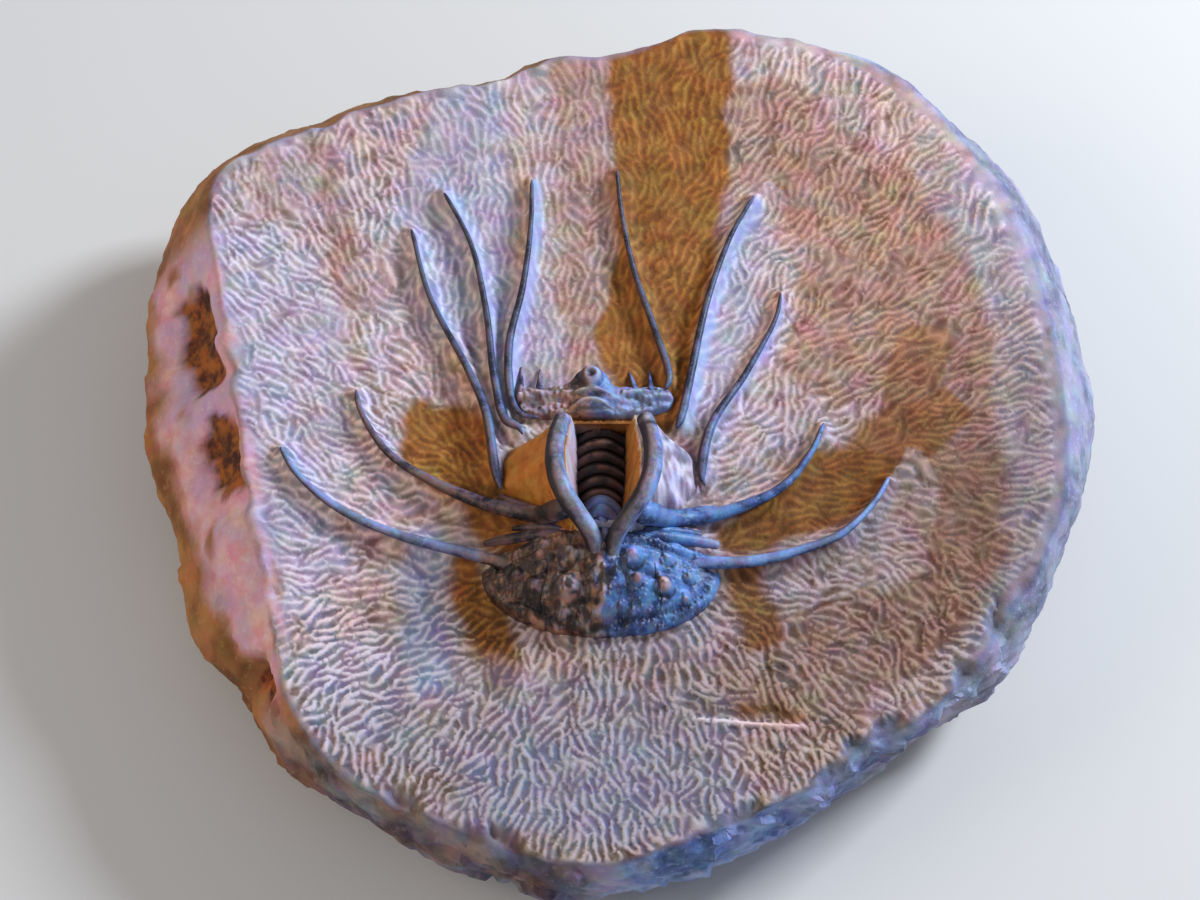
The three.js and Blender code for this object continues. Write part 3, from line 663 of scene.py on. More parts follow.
px, py = plan[:, 0], plan[:, 1]
flat_places = on_plan(px, py)
LIT_BAND_WIDTHS = {"pleural_spine_middle_left": 0.9, "pleural_spine_rear_left": 1.5, "pygidial_spine_left": 2.0,
               "pleural_spine_rear_right": 2.4, "pleural_spine_middle_right": 1.1}
lit_band = np.zeros(len(px))  # painted highlight: the lit right side of the ridges under the rear spines
for name, width in LIT_BAND_WIDTHS.items():
    side = -beside_spine(px, py, name, 4)
    lit_band = np.maximum(lit_band, (side > 0) * smooth_step(-side, -width, -0.45 * width))
# The same painted highlight along the upper side of the right front spine.
side = beside_spine(px, py, "pleural_spine_front_right", 4)
lit_band = np.maximum(lit_band, (side > 0) * (px < 22) * smooth_step(-side, -1.6, -0.8))
contrast = 1.1 + 0.5 * soft_noise(flat_places, 10, 50) + 0.4 * soft_noise(flat_places, 3.5, 51)
contrast = np.clip(contrast, 0.5, 1.3)
contrast = contrast * (1 - 0.6 * lit_band) * (0.6 + 0.54 * smooth_step(-py, 15, 35))
contrast = contrast * (1 - 0.25 * np.exp(-((px + 8) / 15) ** 2) * smooth_step(py, -2, 8))
net = np.clip(net + 0.3 * soft_noise(flat_places, 1.7, 54), 0, 1.1)
net = NET_VALUE + (net - NET_VALUE) * contrast
rib = step_edge(px, py)
net = np.maximum(net, rib)

height = rock_height(px, py)
height[:RIM_POINTS] += 0.4 * soft_noise(rim_noise_places, 4, 8) + 0.2 * soft_noise(rim_noise_places, 1.6, 9)
worked_points = np.arange(len(plan)) >= RIM_POINTS
height = height + STROKE_RELIEF * (net - NET_VALUE) * worked_points
chips = smooth_step(bowl_share(px, py)[0], 0.95, 0.985)
chips = chips * smooth_step(soft_noise(flat_places, 4, 55), 0.05, 0.3)
chips = chips * smooth_step(-py, 15, 30)  # flakes lost along the front edge
height = height - CHIP_DEPTH * chips
net = net + (NET_VALUE - net) * chips
face_xyz = np.column_stack([plan, height])
print("face heights:", round(float(height.min()), 1), "to", round(float(height.max()), 1), "mm")

# %% The flank, from the rim down to the flat base
FLANK_RINGS = 30
BASE_SHARE = 0.7  # radius of the flat base as a share of the widest line's
# Share of the whole way down, share from rim to widest line (1) to base (2), bulge.
FLANK_KNOTS = np.array([
    (0, 0, 0), (0.04, 0.06, 0.5), (0.14, 0.2, 1.0), (0.36, 0.6, 1.2), (0.58, 1, 0.3), (0.75, 1.45, 0),
    (0.9, 1.8, 0), (1, 2, 0),
])
HOLLOWS = [  # weathered hollows of the left flank: y, z, half-length, half-height, depth
    (14.5, 24.3, 8.5, 3.8, 3.0), (-4, 24.5, 6.5, 3.6, 2.8), (-33.5, 17, 3.4, 2.8, 2.6),
]


def flank_ring(t):
    """Points of the flank at a share t of the way down."""
    stage, bulge = (np.interp(t, FLANK_KNOTS[:, 0], FLANK_KNOTS[:, k]) for k in (1, 2))
    wide_radius, wide_z = widest_at(rim_angles)
    upper, lower = min(stage, 1), max(stage - 1, 0)
    radius = rim_radius + (wide_radius - rim_radius) * upper
    z = height[:RIM_POINTS] + (wide_z - height[:RIM_POINTS]) * upper
    radius = radius * (1 - (1 - BASE_SHARE) * lower**2.2) + bulge
    z = z * (1 - lower**0.8)
    return np.column_stack([FACE_CENTRE + radius[:, None] * rim_places[:, :2], z])


def hollow_depth(points):
    """How far the left flank is eaten away."""
    depth = np.zeros(len(points))
    for y, z, length, tall, deep in HOLLOWS:
        depth += deep * np.exp(-(((points[:, 1] - y) / length) ** 4) - ((points[:, 2] - z) / tall) ** 4)
    return depth * (points[:, 0] < AXIS_X)


flank = np.vstack([flank_ring(k / FLANK_RINGS) for k in range(1, FLANK_RINGS + 1)])
flank_share = np.repeat(np.arange(1, FLANK_RINGS + 1) / FLANK_RINGS, RIM_POINTS)
outward = np.tile(rim_places, (FLANK_RINGS, 1))
# 1 on the broken front flank
front = smooth_step(-np.sin(np.tile(rim_angles, FLANK_RINGS) + 0.2), -0.2, 0.7)
fade_in = np.clip(flank_share * 9, 0, 1) * np.clip((1 - flank_share) * 8, 0, 1)
broken = (0.35 + 0.4 * front) * (1.1 * chipped_noise(flank, 6.5, 1) + 0.5 * chipped_noise(flank, 2.6, 2))
broken += 0.35 * soft_noise(flank, 2, 9) + 1.1 * soft_noise(flank, 11, 10)
flank = flank + outward * (fade_in * broken - hollow_depth(flank))[:, None]
flank[flank_share == 1, 2] = 0
flank[flank_share < 1, 2] = np.maximum(flank[flank_share < 1, 2], 0.15)
print("flank points:", len(flank))

# %% [markdown]
# ## Stains, painted light and kinds of stone
# Tongues of ochre end at the spines: partly iron stain, partly painted warm light on the slopes and
# ridge sides that face the left-hand lamp. Beside the spines and along the right rim the rock is pale and
# smooth: partly bleached rock, partly painted light from the right-hand lamp. The left flank is
# weathered: a tan crust, pink calcite round the hollows, and rust inside them.

# %% Stains on the face
OCHRE_AND_WARM_LIGHT = [  # ochre stain with painted warm light: strength, then points of the tongue with its half-width
    (1.0, [(6.9, 57.1, 9.0), (7.4, 42.2, 8.4), (6.6, 26.2, 7.2), (3.4, 14.5, 6.8), (4.0, 4.0, 5.5)]),
    (1.0, [(-26.1, 1.9, 2.6), (-22.7, -2.2, 5.8), (-17.7, -9.0, 4.5), (-14, -16, 2.8)]),
    (1.0, [(-20.4, -20.5, 3.0), (-17.3, -27.3, 3.2), (-14.8, -35.1, 2.0)]),
    (0.45, [(23, -30, 5), (31, -27, 5)]),
    (1.0, [(14.4, -15.5, 2.4), (18.4, -14.0, 3.4), (27.1, -8.2, 5.6), (32.8, -5.5, 4.6)]),
    (0.9, [(32.6, -3.0, 3.4), (37.9, 0.2, 5.4), (42.5, 2.0, 4.0)]),
    (0.8, [(38.5, 3.0, 4), (40.7, 12.2, 4.5)]),
    (0.55, [(34.2, -29.6, 6.0), (44.6, -22.0, 5.3), (47, -8, 5)]),
    (0.4, [(15.4, -36.1, 4.0), (26.9, -37.7, 5.3)]),
    (0.45, [(-40.5, 40.0, 1.4), (-38.1, 29.2, 1.6), (-36.9, 19.2, 1.9)]),
    (0.5, [(20, 45, 8), (36, 30, 9), (30, 12, 8)]),
    (0.4, [(-4, 53, 5), (-4, 35, 4.5), (-5, 18, 3.5), (-6, 8, 2)]),
    (0.5, [(43, 26, 5), (44, 10, 6), (44, -5, 5)]),
    (0.95, [(9.5, -38.3, 0.9), (17, -38.9, 1.1), (23, -39.6, 0.7)]),
]
PALE = [  # pale, bluish rock: partly bleached, partly painted light
    (0.8, [(-17.0, 34.9, 2.6), (-15.3, 19.8, 1.8), (-15.8, 7.5, 1.2)]),
    (0.7, [(17.7, 31.4, 3.0), (15.7, 15.6, 2.4), (12.3, 0.7, 1.2)]),
    (1.0, [(-24.7, -16.5, 2.8), (-25.7, -22.7, 2.8), (-24.3, -34.0, 2.8)]),
    (0.8, [(-15.1, -49.5, 5.7), (0.0, -48.1, 7.3), (10.1, -51.0, 6.0)]),
    (0.45, [(-32, -36, 8), (-12, -42, 8), (8, -42, 7)]),
    (0.7, [(-20, 47, 5.0), (-22, 38, 6.5), (-25, 27, 5.5), (-23, 15, 3.0)]),
    (0.5, [(48.5, 33.8, 5.0), (55.5, 17.8, 5.5), (57, -4.5, 6.0), (54, -20.2, 4.2), (45, -34, 3.5)]),
    (0.6, [(-22, 38, 3.0), (-18, 22, 5.0), (-12, 14, 4.5), (-10, 7, 3.0)]),
    (0.5, [(-3, -30.5, 1.0), (6, -30, 1.2), (12, -27.5, 1.0)]),
    (0.35, [(-48, 20, 9), (-42, 0, 8), (-44, -20, 7)]),
]
DARK_SPOTS = [  # strength, points and half-widths
    (0.7, [(3.6, -38.9, 0.5), (5.4, -38.4, 0.6)]), (0.8, [(19.4, -33.7, 0.3), (21.8, -32.8, 0.25)]),
    (0.7, [(53.2, -19.6, 0.7), (54.0, -19.4, 0.6)]), (0.5, [(-38.7, 30.8, 0.5), (-38.3, 28.8, 0.4)]),
    (0.6, [(37, -34.5, 0.9), (39, -33.5, 0.6)]),
]


def tongue(x, y, knots, edge):
    """1 inside a tongue of stone along a few points, each with its half-width, fading out over `edge`."""
    knots = np.array(knots, float)
    depth = np.full(len(x), -FAR)
    for (ax, ay, aw), (bx, by, bw) in zip(knots, knots[1:]):
        run = (bx - ax) ** 2 + (by - ay) ** 2
        t = np.clip(((x - ax) * (bx - ax) + (y - ay) * (by - ay)) / run, 0, 1)
        away = np.hypot(x - ax - t * (bx - ax), y - ay - t * (by - ay))
        depth = np.maximum(depth, aw + (bw - aw) * t - away)
    return smooth_step(depth, -edge / 2, edge / 2)


def colour_tongues(x, y, tongues, edge, seed):
    """Tongues of stone whose edges wander."""
    places = on_plan(x, y)
    dx, dy = 1.5 * soft_noise(places, 5, seed), 1.5 * soft_noise(places, 5, seed + 1)
    total = np.zeros(len(x))
    for strength, knots in tongues:
        total = np.maximum(total, strength * tongue(x + dx, y + dy, knots, edge))
    return total


def cut_at_spine(mask, x, y, name, keep_left, reach=7.0):
    """Ends a tongue of stain and painted light at a spine: only its left or right side stays, within reach.
    """
    side = beside_spine(x, y, name, reach)
    gone = (side < 0) if keep_left else ((side > 0) & (side < FAR))
    return np.where(gone & (side < FAR), mask * 0.1, mask)


# %% Laying the stains and painted light on the face
ochre = colour_tongues(px, py, OCHRE_AND_WARM_LIGHT, 2.2, 20)
ochre = cut_at_spine(ochre, px, py, "pleural_spine_rear_right", keep_left=True, reach=5)
ochre = cut_at_spine(ochre, px, py, "free_cheek_right", keep_left=True)
ochre = cut_at_spine(ochre, px, py, "pleural_spine_front_right", keep_left=False, reach=6)
ochre = cut_at_spine(ochre, px, py, "pleural_spine_middle_left", keep_left=True, reach=6)
pale = np.maximum(colour_tongues(px, py, PALE, 3.5, 30), 0.9 * lit_band)
ochre = ochre * (1 - 0.8 * lit_band)
# One more patch of ochre and painted warm light in front of the right cheek's spine, where the cut had
# cleared the ochre.
LAST_OCHRE_AND_WARM_LIGHT = [(0.95, [(16.6, -19.6, 2.4), (16.3, -24.0, 2.6), (18.8, -28.0, 2.6)])]
ochre = np.maximum(ochre, colour_tongues(px, py, LAST_OCHRE_AND_WARM_LIGHT, 2.2, 24))
# Painted shade: duller and darker towards the front right.
shade = 0.42 * smooth_step(0.6 * px - py + 6 * soft_noise(flat_places, 9, 53), -5, 38)
dark = np.maximum(colour_tongues(px, py, DARK_SPOTS, 0.8, 35), shade * (1 - rib))
ochre = ochre * (1 - rib)
print("ochre share:", round(float(ochre.mean()), 2), "pale share:", round(float(pale.mean()), 2))

# %% Stone and painted light of the block under the horns
above = saddle_height(px, py) - open_rock_height(px, py)
under_wall = slot_height(px, py) < FAR
slot_depth = np.where(under_wall, saddle_height(px, py) - slot_height(px, py), 0)
facet = (above > 0) & (slot_depth <= 0) & worked_points
left_facet, right_facet = facet & (px < HORN_X), facet & (px >= HORN_X)
in_slot = (slot_depth > 0) & (py < SLOT[-1, 0])
ledge = under_wall & (py >= SLOT[-1, 0])
# Painted light by facing: the left facet and the slot's right-hand wall face left and get bright ochre, as
# does the ledge; the right facet faces right and gets pale rock, the slot's left-hand wall a duller pale.
dark = np.where(facet | in_slot | ledge, 0, dark)
ochre = np.where(left_facet | (in_slot & (px > AXIS_X)) | ledge, 1.0, np.where(facet | in_slot, 0.0, ochre))
pale = np.where(right_facet, 0.2, np.where(in_slot & (px < AXIS_X), 0.05, np.where(left_facet, 0, pale)))
# Painted light: the neck between the horns' bases is pale and bright against the shade of the horns.
neck = (np.abs(px - AXIS_X) < 3) & (py < -16.6) & (py > -19.5)
ochre, pale = np.where(neck, 0, ochre), np.where(neck, 0.8, pale)
# Painted shadow: a dark line along the block's foot, stronger on its left side.
outline = 0.75 * np.exp(-((above - 0.1) / 0.7) ** 2) * (py > -13) * (py < -0.5) * (slot_depth <= 0)
# Painted shadow on the floor of the slot.
shadowed_slot_floor = in_slot & (face_xyz[:, 2] < SLOT_FLOOR_Z + 2.0)
dark = np.maximum(dark, np.maximum(outline * np.where(px < HORN_X, 1, 0.5), shadowed_slot_floor * 0.95))
streaks = soft_noise(flat_places * [1, 0.4, 1], 0.5, 52)
net = np.where(left_facet, 0.95 + 0.5 * streaks, np.where(right_facet, 0.42 + 0.5 * streaks, net))
net = np.where(in_slot & (px < AXIS_X), 0.5, np.where(in_slot | neck, 1.0, net))
print("points on the walls of the block:", int(facet.sum()), "in the slot:", int(in_slot.sum()))

# %% [markdown]
# ## Finishes
# Stone and shell share two effects, each a node group built once: a mottling and a fine grain. Every
# other node belongs to its own material. Where a stain, a kind of stone or a patch of painted light or
# shade lies is worked out on the points of the mesh and read in the material as an attribute, so it
# stays on the rock whatever the view.


# %% Node helpers
def add_node(tree, kind, inputs=None, **settings):
    """A node with its settings made and its inputs set, or joined where they are another node's output."""
    node = tree.nodes.new(kind)
    for name, value in settings.items():
        setattr(node, name, value)
    for name, value in (inputs or {}).items():
        if isinstance(value, bpy.types.NodeSocket):
            tree.links.new(value, node.inputs[name])
        else:
            node.inputs[name].default_value = value
    return node


def blend(tree, factor, first, second, how="MIX"):
    """Output of a colour mix; a colour may be three numbers or another node's output."""
    full = [c if isinstance(c, bpy.types.NodeSocket) else (*c, 1) for c in (first, second)]
    sockets = {0: factor, 6: full[0], 7: full[1]}
    mix = add_node(tree, "ShaderNodeMix", sockets, data_type="RGBA", blend_type=how)
    return mix.outputs[2]


def connect(tree, shader, colour, rough, relief):
    """Plugs a colour, a roughness and a fine relief into a shader."""
    bump = add_node(tree, "ShaderNodeBump", relief)
    tree.links.new(colour, shader.inputs["Base Color"])
    tree.links.new(rough, shader.inputs["Roughness"])
    tree.links.new(bump.outputs["Normal"], shader.inputs["Normal"])


def sums(tree, how, first, second):
    """Output of one calculation with two numbers."""
    return add_node(tree, "ShaderNodeMath", {0: first, 1: second}, operation=how).outputs[0]


def ramp(tree, value, low, high, out_low=0.0, out_high=1.0):
    """Output that rises smoothly from out_low to out_high as value goes from low to high."""
    node = add_node(tree, "ShaderNodeMapRange", {0: value, 1: low, 2: high, 3: out_low, 4: out_high},
                    interpolation_type="SMOOTHSTEP")
    return node.outputs[0]


def attribute(tree, name):
    """Output that reads a value painted on the mesh."""
    return add_node(tree, "ShaderNodeAttribute", attribute_name=name).outputs["Fac"]


def new_material(name):
    """A material, its node tree and its shader."""
    material = bpy.data.materials.new(name)
    material.use_nodes = True
    return material, material.node_tree, material.node_tree.nodes["Principled BSDF"]


# %% Mottling and grain, shared by stone and shell
def texture_group(name, outputs):
    """An empty node group with a scale going in; returns its tree, its scale and its object place."""
    tree = bpy.data.node_groups.new(name, "ShaderNodeTree")
    tree.interface.new_socket("Scale", in_out="INPUT", socket_type="NodeSocketFloat")
    for socket_name, kind in outputs:
        tree.interface.new_socket(socket_name, in_out="OUTPUT", socket_type=kind)
    scale = tree.nodes.new("NodeGroupInput").outputs["Scale"]
    place = add_node(tree, "ShaderNodeTexCoord").outputs["Object"]
    return tree, scale, place, tree.nodes.new("NodeGroupOutput")


def mottle_group():
    """Cloudy noise at a real size: a value from 0 to 1 and a colour."""
    outputs = [("Value", "NodeSocketFloat"), ("Colour", "NodeSocketColor")]
    tree, scale, place, out = texture_group("mottle", outputs)
    cloud = add_node(tree, "ShaderNodeTexNoise",
                     {"Vector": place, "Scale": scale, "Detail": 3.0, "Roughness": 0.6})
    tree.links.new(cloud.outputs["Fac"], out.inputs["Value"])
    tree.links.new(cloud.outputs["Color"], out.inputs["Colour"])
    return tree


def grain_group():
    """Fine grain at a real size: a value from 0 to 1 and a height."""
    outputs = [("Value", "NodeSocketFloat"), ("Height", "NodeSocketFloat")]
    tree, scale, place, out = texture_group("grain", outputs)
    fine = add_node(tree, "ShaderNodeTexNoise",
                    {"Vector": place, "Scale": scale, "Detail": 4.0, "Roughness": 0.7})
    pits = add_node(tree, "ShaderNodeTexVoronoi", {"Vector": place, "Scale": scale})
    tree.links.new(fine.outputs["Fac"], out.inputs["Value"])
    pitted = sums(tree, "MULTIPLY", fine.outputs["Fac"], pits.outputs["Distance"])
    tree.links.new(pitted, out.inputs["Height"])
    return tree


mottle, grain = mottle_group(), grain_group()
print("shared effects:", mottle.name, grain.name)


def add_texture(tree, group, size_mm):
    """One of the shared effects at a size in millimetres."""
    return add_node(tree, "ShaderNodeGroup", {"Scale": 1000 / size_mm}, node_tree=group)


def add_mottle(tree, size_mm, low=0.35, high=0.65):
    """Mottling that runs from 0 to 1 between two values of the noise."""
    return ramp(tree, add_texture(tree, mottle, size_mm).outputs["Value"], low, high)


# %% Limestone
def limestone():
    """Limestone: pale bruised net, furrows in painted shade, ochre and pale zones partly painted light,
    crust, calcite and rust.
    """
    material, tree, shader = new_material("limestone")
    cloud, patch, fleck = add_mottle(tree, 9), add_mottle(tree, 2.2), add_mottle(tree, 0.9, 0.42, 0.7)
    slate = ramp(tree, add_mottle(tree, 4.5, 0.5, 0.62), 0, 1, 0, 0.5)
    tint = add_texture(tree, mottle, 3.2).outputs["Colour"]
    dust = add_texture(tree, grain, 0.35)
    ochre_and_warm_light_share, pale_and_lit_share = attribute(tree, "ochre"), attribute(tree, "pale")

    # Furrows are darker than the ridges: painted shade in the scribe's furrows.
    furrow = blend(tree, patch, (0.19, 0.11, 0.09), (0.38, 0.285, 0.295))
    furrow = blend(tree, slate, furrow, (0.13, 0.20, 0.29))
    ridge = blend(tree, cloud, (1.0, 0.79, 0.74), (1.0, 0.88, 0.95))
    # Ochre colours: iron stain together with painted warm light.
    furrow = blend(tree, ochre_and_warm_light_share, furrow, blend(tree, patch, (0.14, 0.044, 0.005), (0.24, 0.090, 0.014)))
    ridge = blend(tree, ochre_and_warm_light_share, ridge, blend(tree, patch, (0.44, 0.170, 0.020), (0.56, 0.28, 0.060)))
    # Pale colours: bleached rock together with painted light.
    furrow = blend(tree, pale_and_lit_share, furrow, (0.25, 0.28, 0.45))
    ridge = blend(tree, pale_and_lit_share, ridge, (0.82, 0.85, 1.0))
    worked = blend(tree, ramp(tree, attribute(tree, "net"), 0.1, 0.95), furrow, ridge)

    dark_stone = blend(tree, patch, (0.05, 0.10, 0.22), (0.13, 0.23, 0.45))
    dark_stone = blend(tree, cloud, dark_stone, (0.40, 0.49, 0.72))
    light_stone = blend(tree, patch, (0.13, 0.13, 0.18), (0.25, 0.24, 0.30))
    light_stone = blend(tree, cloud, light_stone, (0.38, 0.36, 0.41))
    # On the flank, pale picks the lighter stone: painted light on the side facing the right-hand lamp.
    fresh = blend(tree, attribute(tree, "pale"), dark_stone, light_stone)
    # Pale flecks: painted glints on the broken flank.
    fresh = blend(tree, ramp(tree, fleck, 0.5, 1.0, 0, 0.2), fresh, (0.74, 0.76, 0.86))
    crust = blend(tree, cloud, (0.18, 0.080, 0.024), (0.40, 0.205, 0.080))
    crust = blend(tree, ramp(tree, fleck, 0.6, 1.0, 0, 0.3), crust, (0.50, 0.34, 0.22))
    side = blend(tree, attribute(tree, "crust"), fresh, crust)
    calcite = blend(tree, patch, (0.76, 0.36, 0.37), (0.84, 0.52, 0.53))
    calcite = blend(tree, cloud, calcite, (0.58, 0.42, 0.58))
    calcite = blend(tree, ramp(tree, fleck, 0.6, 1.0, 0, 0.25), calcite, (0.86, 0.74, 0.76))
    side = blend(tree, attribute(tree, "pink"), side, calcite)
    colour = blend(tree, attribute(tree, "flank"), worked, side)
    iron = blend(tree, patch, (0.07, 0.016, 0.004), (0.38, 0.115, 0.012))
    colour = blend(tree, attribute(tree, "rust"), colour, iron)

    colour = blend(tree, 0.42, colour, tint, "OVERLAY")
    # Painted light: warmer where the rock faces the left-hand lamp, cooler where it faces the right-hand one.
    painted_side_light = blend(tree, attribute(tree, "painted_side_light"), (1.16, 0.90, 0.66), (0.88, 0.97, 1.21))
    colour = blend(tree, 1.0, colour, painted_side_light, "MULTIPLY")
    colour = blend(tree, ramp(tree, dust.outputs["Value"], 0.3, 0.7, 0.0, 0.02), colour, (1, 1, 1))
    colour = blend(tree, attribute(tree, "dark"), colour, (0.016, 0.010, 0.010))

    rough = ramp(tree, dust.outputs["Value"], 0.3, 0.7, 0.6, 0.85)
    connect(tree, shader, colour, rough,
            {"Strength": 0.6, "Distance": 0.0001, "Height": dust.outputs["Height"]})
    shader.inputs["Specular IOR Level"].default_value = 0.2
    return material


stone = limestone()
print("limestone nodes:", len(stone.node_tree.nodes))

# %% Rock mesh
base_middle = np.array([[*FACE_CENTRE, 0.0]])
rock_points = np.vstack([face_xyz, flank, base_middle])
ring_start = [0] + [len(face_xyz) + k * RIM_POINTS for k in range(FLANK_RINGS)]
flank_faces = []
for upper_start, lower_start in zip([0] + ring_start[1:-1], ring_start[1:]):
    for k in range(RIM_POINTS):
        n = (k + 1) % RIM_POINTS
        flank_faces.append((upper_start + k, lower_start + k, lower_start + n))
        flank_faces.append((upper_start + k, lower_start + n, upper_start + n))
last = ring_start[-1]
base_faces = [(last + (k + 1) % RIM_POINTS, last + k, len(rock_points) - 1) for k in range(RIM_POINTS)]
corners = face_xyz[face_faces]
facing = np.cross(corners[:, 1] - corners[:, 0], corners[:, 2] - corners[:, 0])[:, 2]
face_faces[facing < 0] = face_faces[facing < 0][:, ::-1]
rock = make_piece("rock", rock_points, face_faces.tolist() + flank_faces + base_faces, stone)
print("rock triangles:", len(rock.data.polygons))


def keep_sharp(piece, angle, from_point):
    """Leaves creases steeper than an angle sharp, but only between points from number `from_point` on."""
    mesh = piece.data
    mesh.set_sharp_from_angle(angle=math.radians(angle))
    ends = np.empty(2 * len(mesh.edges), np.int32)
    mesh.edges.foreach_get("vertices", ends)
    sharp = np.empty(len(mesh.edges), bool)
    mesh.edges.foreach_get("use_edge_sharp", sharp)
    mesh.edges.foreach_set("use_edge_sharp", sharp & (ends.reshape(-1, 2).min(axis=1) >= from_point))


def paint_points(piece, name, values):
    """A value for every point of a mesh, which its material reads."""
    layer = piece.data.attributes.new(name, "FLOAT", "POINT")
    layer.data.foreach_set("value", np.asarray(values, np.float32))


def facings(piece):
    """Outward direction at every point of a mesh."""
    facing = np.empty(3 * len(piece.data.vertices), np.float32)
    piece.data.vertices.foreach_get("normal", facing)
    return facing.reshape(-1, 3)


# %% Kinds of stone on the flank
keep_sharp(rock, 28, len(rim_xy) + len(face_xy))
skirt = FLANK_RINGS * RIM_POINTS + 1
flank_all = np.vstack([flank, base_middle])
flank_angle = np.arctan2(flank_all[:, 1] - FACE_CENTRE[1], flank_all[:, 0] - FACE_CENTRE[0])
crusted = np.cos(flank_angle - math.radians(150)) + 0.3 * soft_noise(flank_all, 9, 41)
crusted = smooth_step(crusted, -0.1, 0.45)
front_left = smooth_step(-flank_all[:, 1], 38, 46) * smooth_step(-flank_all[:, 0], -4, 10)
crusted = np.maximum(crusted, (0.45 + 0.5 * soft_noise(flank_all, 5, 44)) * front_left)
eaten = hollow_depth(flank_all)
above_widest = smooth_step(flank_all[:, 2] + 2.5 * soft_noise(flank_all, 4, 47), 15, 19.5)
zone = smooth_step(-flank_all[:, 0], 38, 43) * smooth_step(-np.abs(flank_all[:, 1] + 4), -36, -28)
pink = zone * smooth_step(soft_noise(flank_all, 6, 43), -0.7, -0.35)
pink = np.maximum(smooth_step(eaten, 0.05, 0.5), pink) * above_widest
rust = smooth_step(eaten + 0.9 * soft_noise(flank_all, 3, 42), 1.25, 1.9)
on_rim = np.arange(len(plan)) < RIM_POINTS
# Painted light: the flank that faces the right-hand lamp gets the lighter stone.
right_side = np.cos(flank_angle - math.radians(5)) + 0.2 * soft_noise(flank_all, 7, 45)
right_side = smooth_step(right_side, 0.35, 0.8)
# Painted shade: darker deep in the flank's hollows.
pits = smooth_step(eaten, 2.2, 3.2) * smooth_step(soft_noise(flank_all, 2.5, 46), 0.0, 0.35)
# Painted light: 0 where a point faces the left-hand lamp, 1 where it faces the right-hand one, weaker low
# down the flank.
painted_side_light = 0.5 + 0.75 * facings(rock)[:, 0]
painted_side_light = np.clip(painted_side_light - 0.05 * smooth_step(rock_points[:, 0], 0, 40), 0, 1)
painted_side_light = 0.55 + (painted_side_light - 0.55) * (0.45 + 0.55 * smooth_step(rock_points[:, 2], 3, 15))
painted_side_light[len(plan):] = np.maximum(painted_side_light[len(plan):], 0.45 * pink)
spill = smooth_step(bowl_share(px, py)[0], 0.93, 0.985) * smooth_step(-px, 38, 43)
spill = spill * smooth_step(-np.abs(py + 4), -36, -28)
spill = spill * smooth_step(soft_noise(flat_places, 4, 48), -0.3, 0.25)
broken_edge = np.maximum(0.8 * spill, 0.85 * chips)
for name, on_top, below in (
    ("net", net, np.zeros(skirt)),
    ("ochre", ochre, np.zeros(skirt)),
    ("pale", pale, right_side),
    ("dark", dark, np.maximum(0.6 * pits, 0.3 * front_left)),
    ("flank", np.maximum(on_rim * 0.4, broken_edge), np.ones(skirt)),
    ("crust", 0.7 * chips * smooth_step(-px, -5, 15), crusted),
    ("pink", spill, pink),
    ("rust", np.zeros(len(plan)), rust),
):
    paint_points(rock, name, np.concatenate([on_top, below]))
paint_points(rock, "painted_side_light", painted_side_light)
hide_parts("matrix")
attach(rock, "root")

# %% [markdown]
# ## The shell's finish
# The shell is black-brown calcite that shows slate blue; towards the viewer's right and on sides that
# face right the blue is a painted reflection of the cool lamp, and sides that face left carry painted
# shade. It keeps a soft polish, pale rock dust in its furrows, and worn tops where the scribe and the
# brush touched its knobs; painted highlights on knobs and right-facing edges share the mark of wear.


# %% Shell finish
def fossil_shell():
    """Dark polished shell: brown to slate blue with a painted reflection, worn pale on its knobs with painted
    highlights, dusty in its furrows.
    """
    material, tree, shader = new_material("fossil_shell")
    cloud, fleck = add_mottle(tree, 3, 0.38, 0.6), add_mottle(tree, 0.8)
    fine = add_mottle(tree, 0.45, 0.5, 0.7)
    tint = add_texture(tree, mottle, 1.3).outputs["Colour"]
    grains = add_texture(tree, grain, 0.22)
    # Blue: slate blue that is partly a painted reflection of the cool right-hand lamp.
    blue = attribute(tree, "blue")
    deep = blend(tree, blue, (0.024, 0.011, 0.008), (0.026, 0.060, 0.20))
    lit = blend(tree, blue, (0.54, 0.24, 0.13), (0.11, 0.28, 0.68))
    colour = blend(tree, cloud, deep, lit)
    rubbed = blend(tree, blue, (0.62, 0.34, 0.23), (0.26, 0.40, 0.78))
    colour = blend(tree, ramp(tree, fine, 0.2, 1.0, 0.0, 0.5), colour, rubbed)
    pale_top = blend(tree, fleck, (0.78, 0.42, 0.28), (0.72, 0.60, 0.66))
    pale_top = blend(tree, blue, pale_top, (0.46, 0.54, 0.82))
    colour = blend(tree, attribute(tree, "wear_and_highlight"), colour, pale_top)
    powder = blend(tree, fleck, (0.15, 0.13, 0.13), (0.30, 0.28, 0.33))
    colour = blend(tree, attribute(tree, "dusty"), colour, powder)
    colour = blend(tree, 0.6, colour, tint, "OVERLAY")
    colour = blend(tree, attribute(tree, "dark"), colour, (0.010, 0.006, 0.005))
    rough = ramp(tree, grains.outputs["Value"], 0.3, 0.7, 0.38, 0.6)
    connect(tree, shader, colour, rough,
            {"Strength": 0.5, "Distance": 0.00008, "Height": grains.outputs["Height"]})
    shader.inputs["Specular IOR Level"].default_value = 0.45
    return material


shell = fossil_shell()
print("shell nodes:", len(shell.node_tree.nodes))


# %% [markdown]
# ## The head
# The head shield is three plates: the middle one with its lobes, and a cheek on each side that carries
# an eye and runs out into a long spine. Each plate is a relief: points inside its outline, joined by a
# Delaunay triangulation and lifted by a formula for the vault, the furrows and the knobs, then closed
# with a rim and a floor.


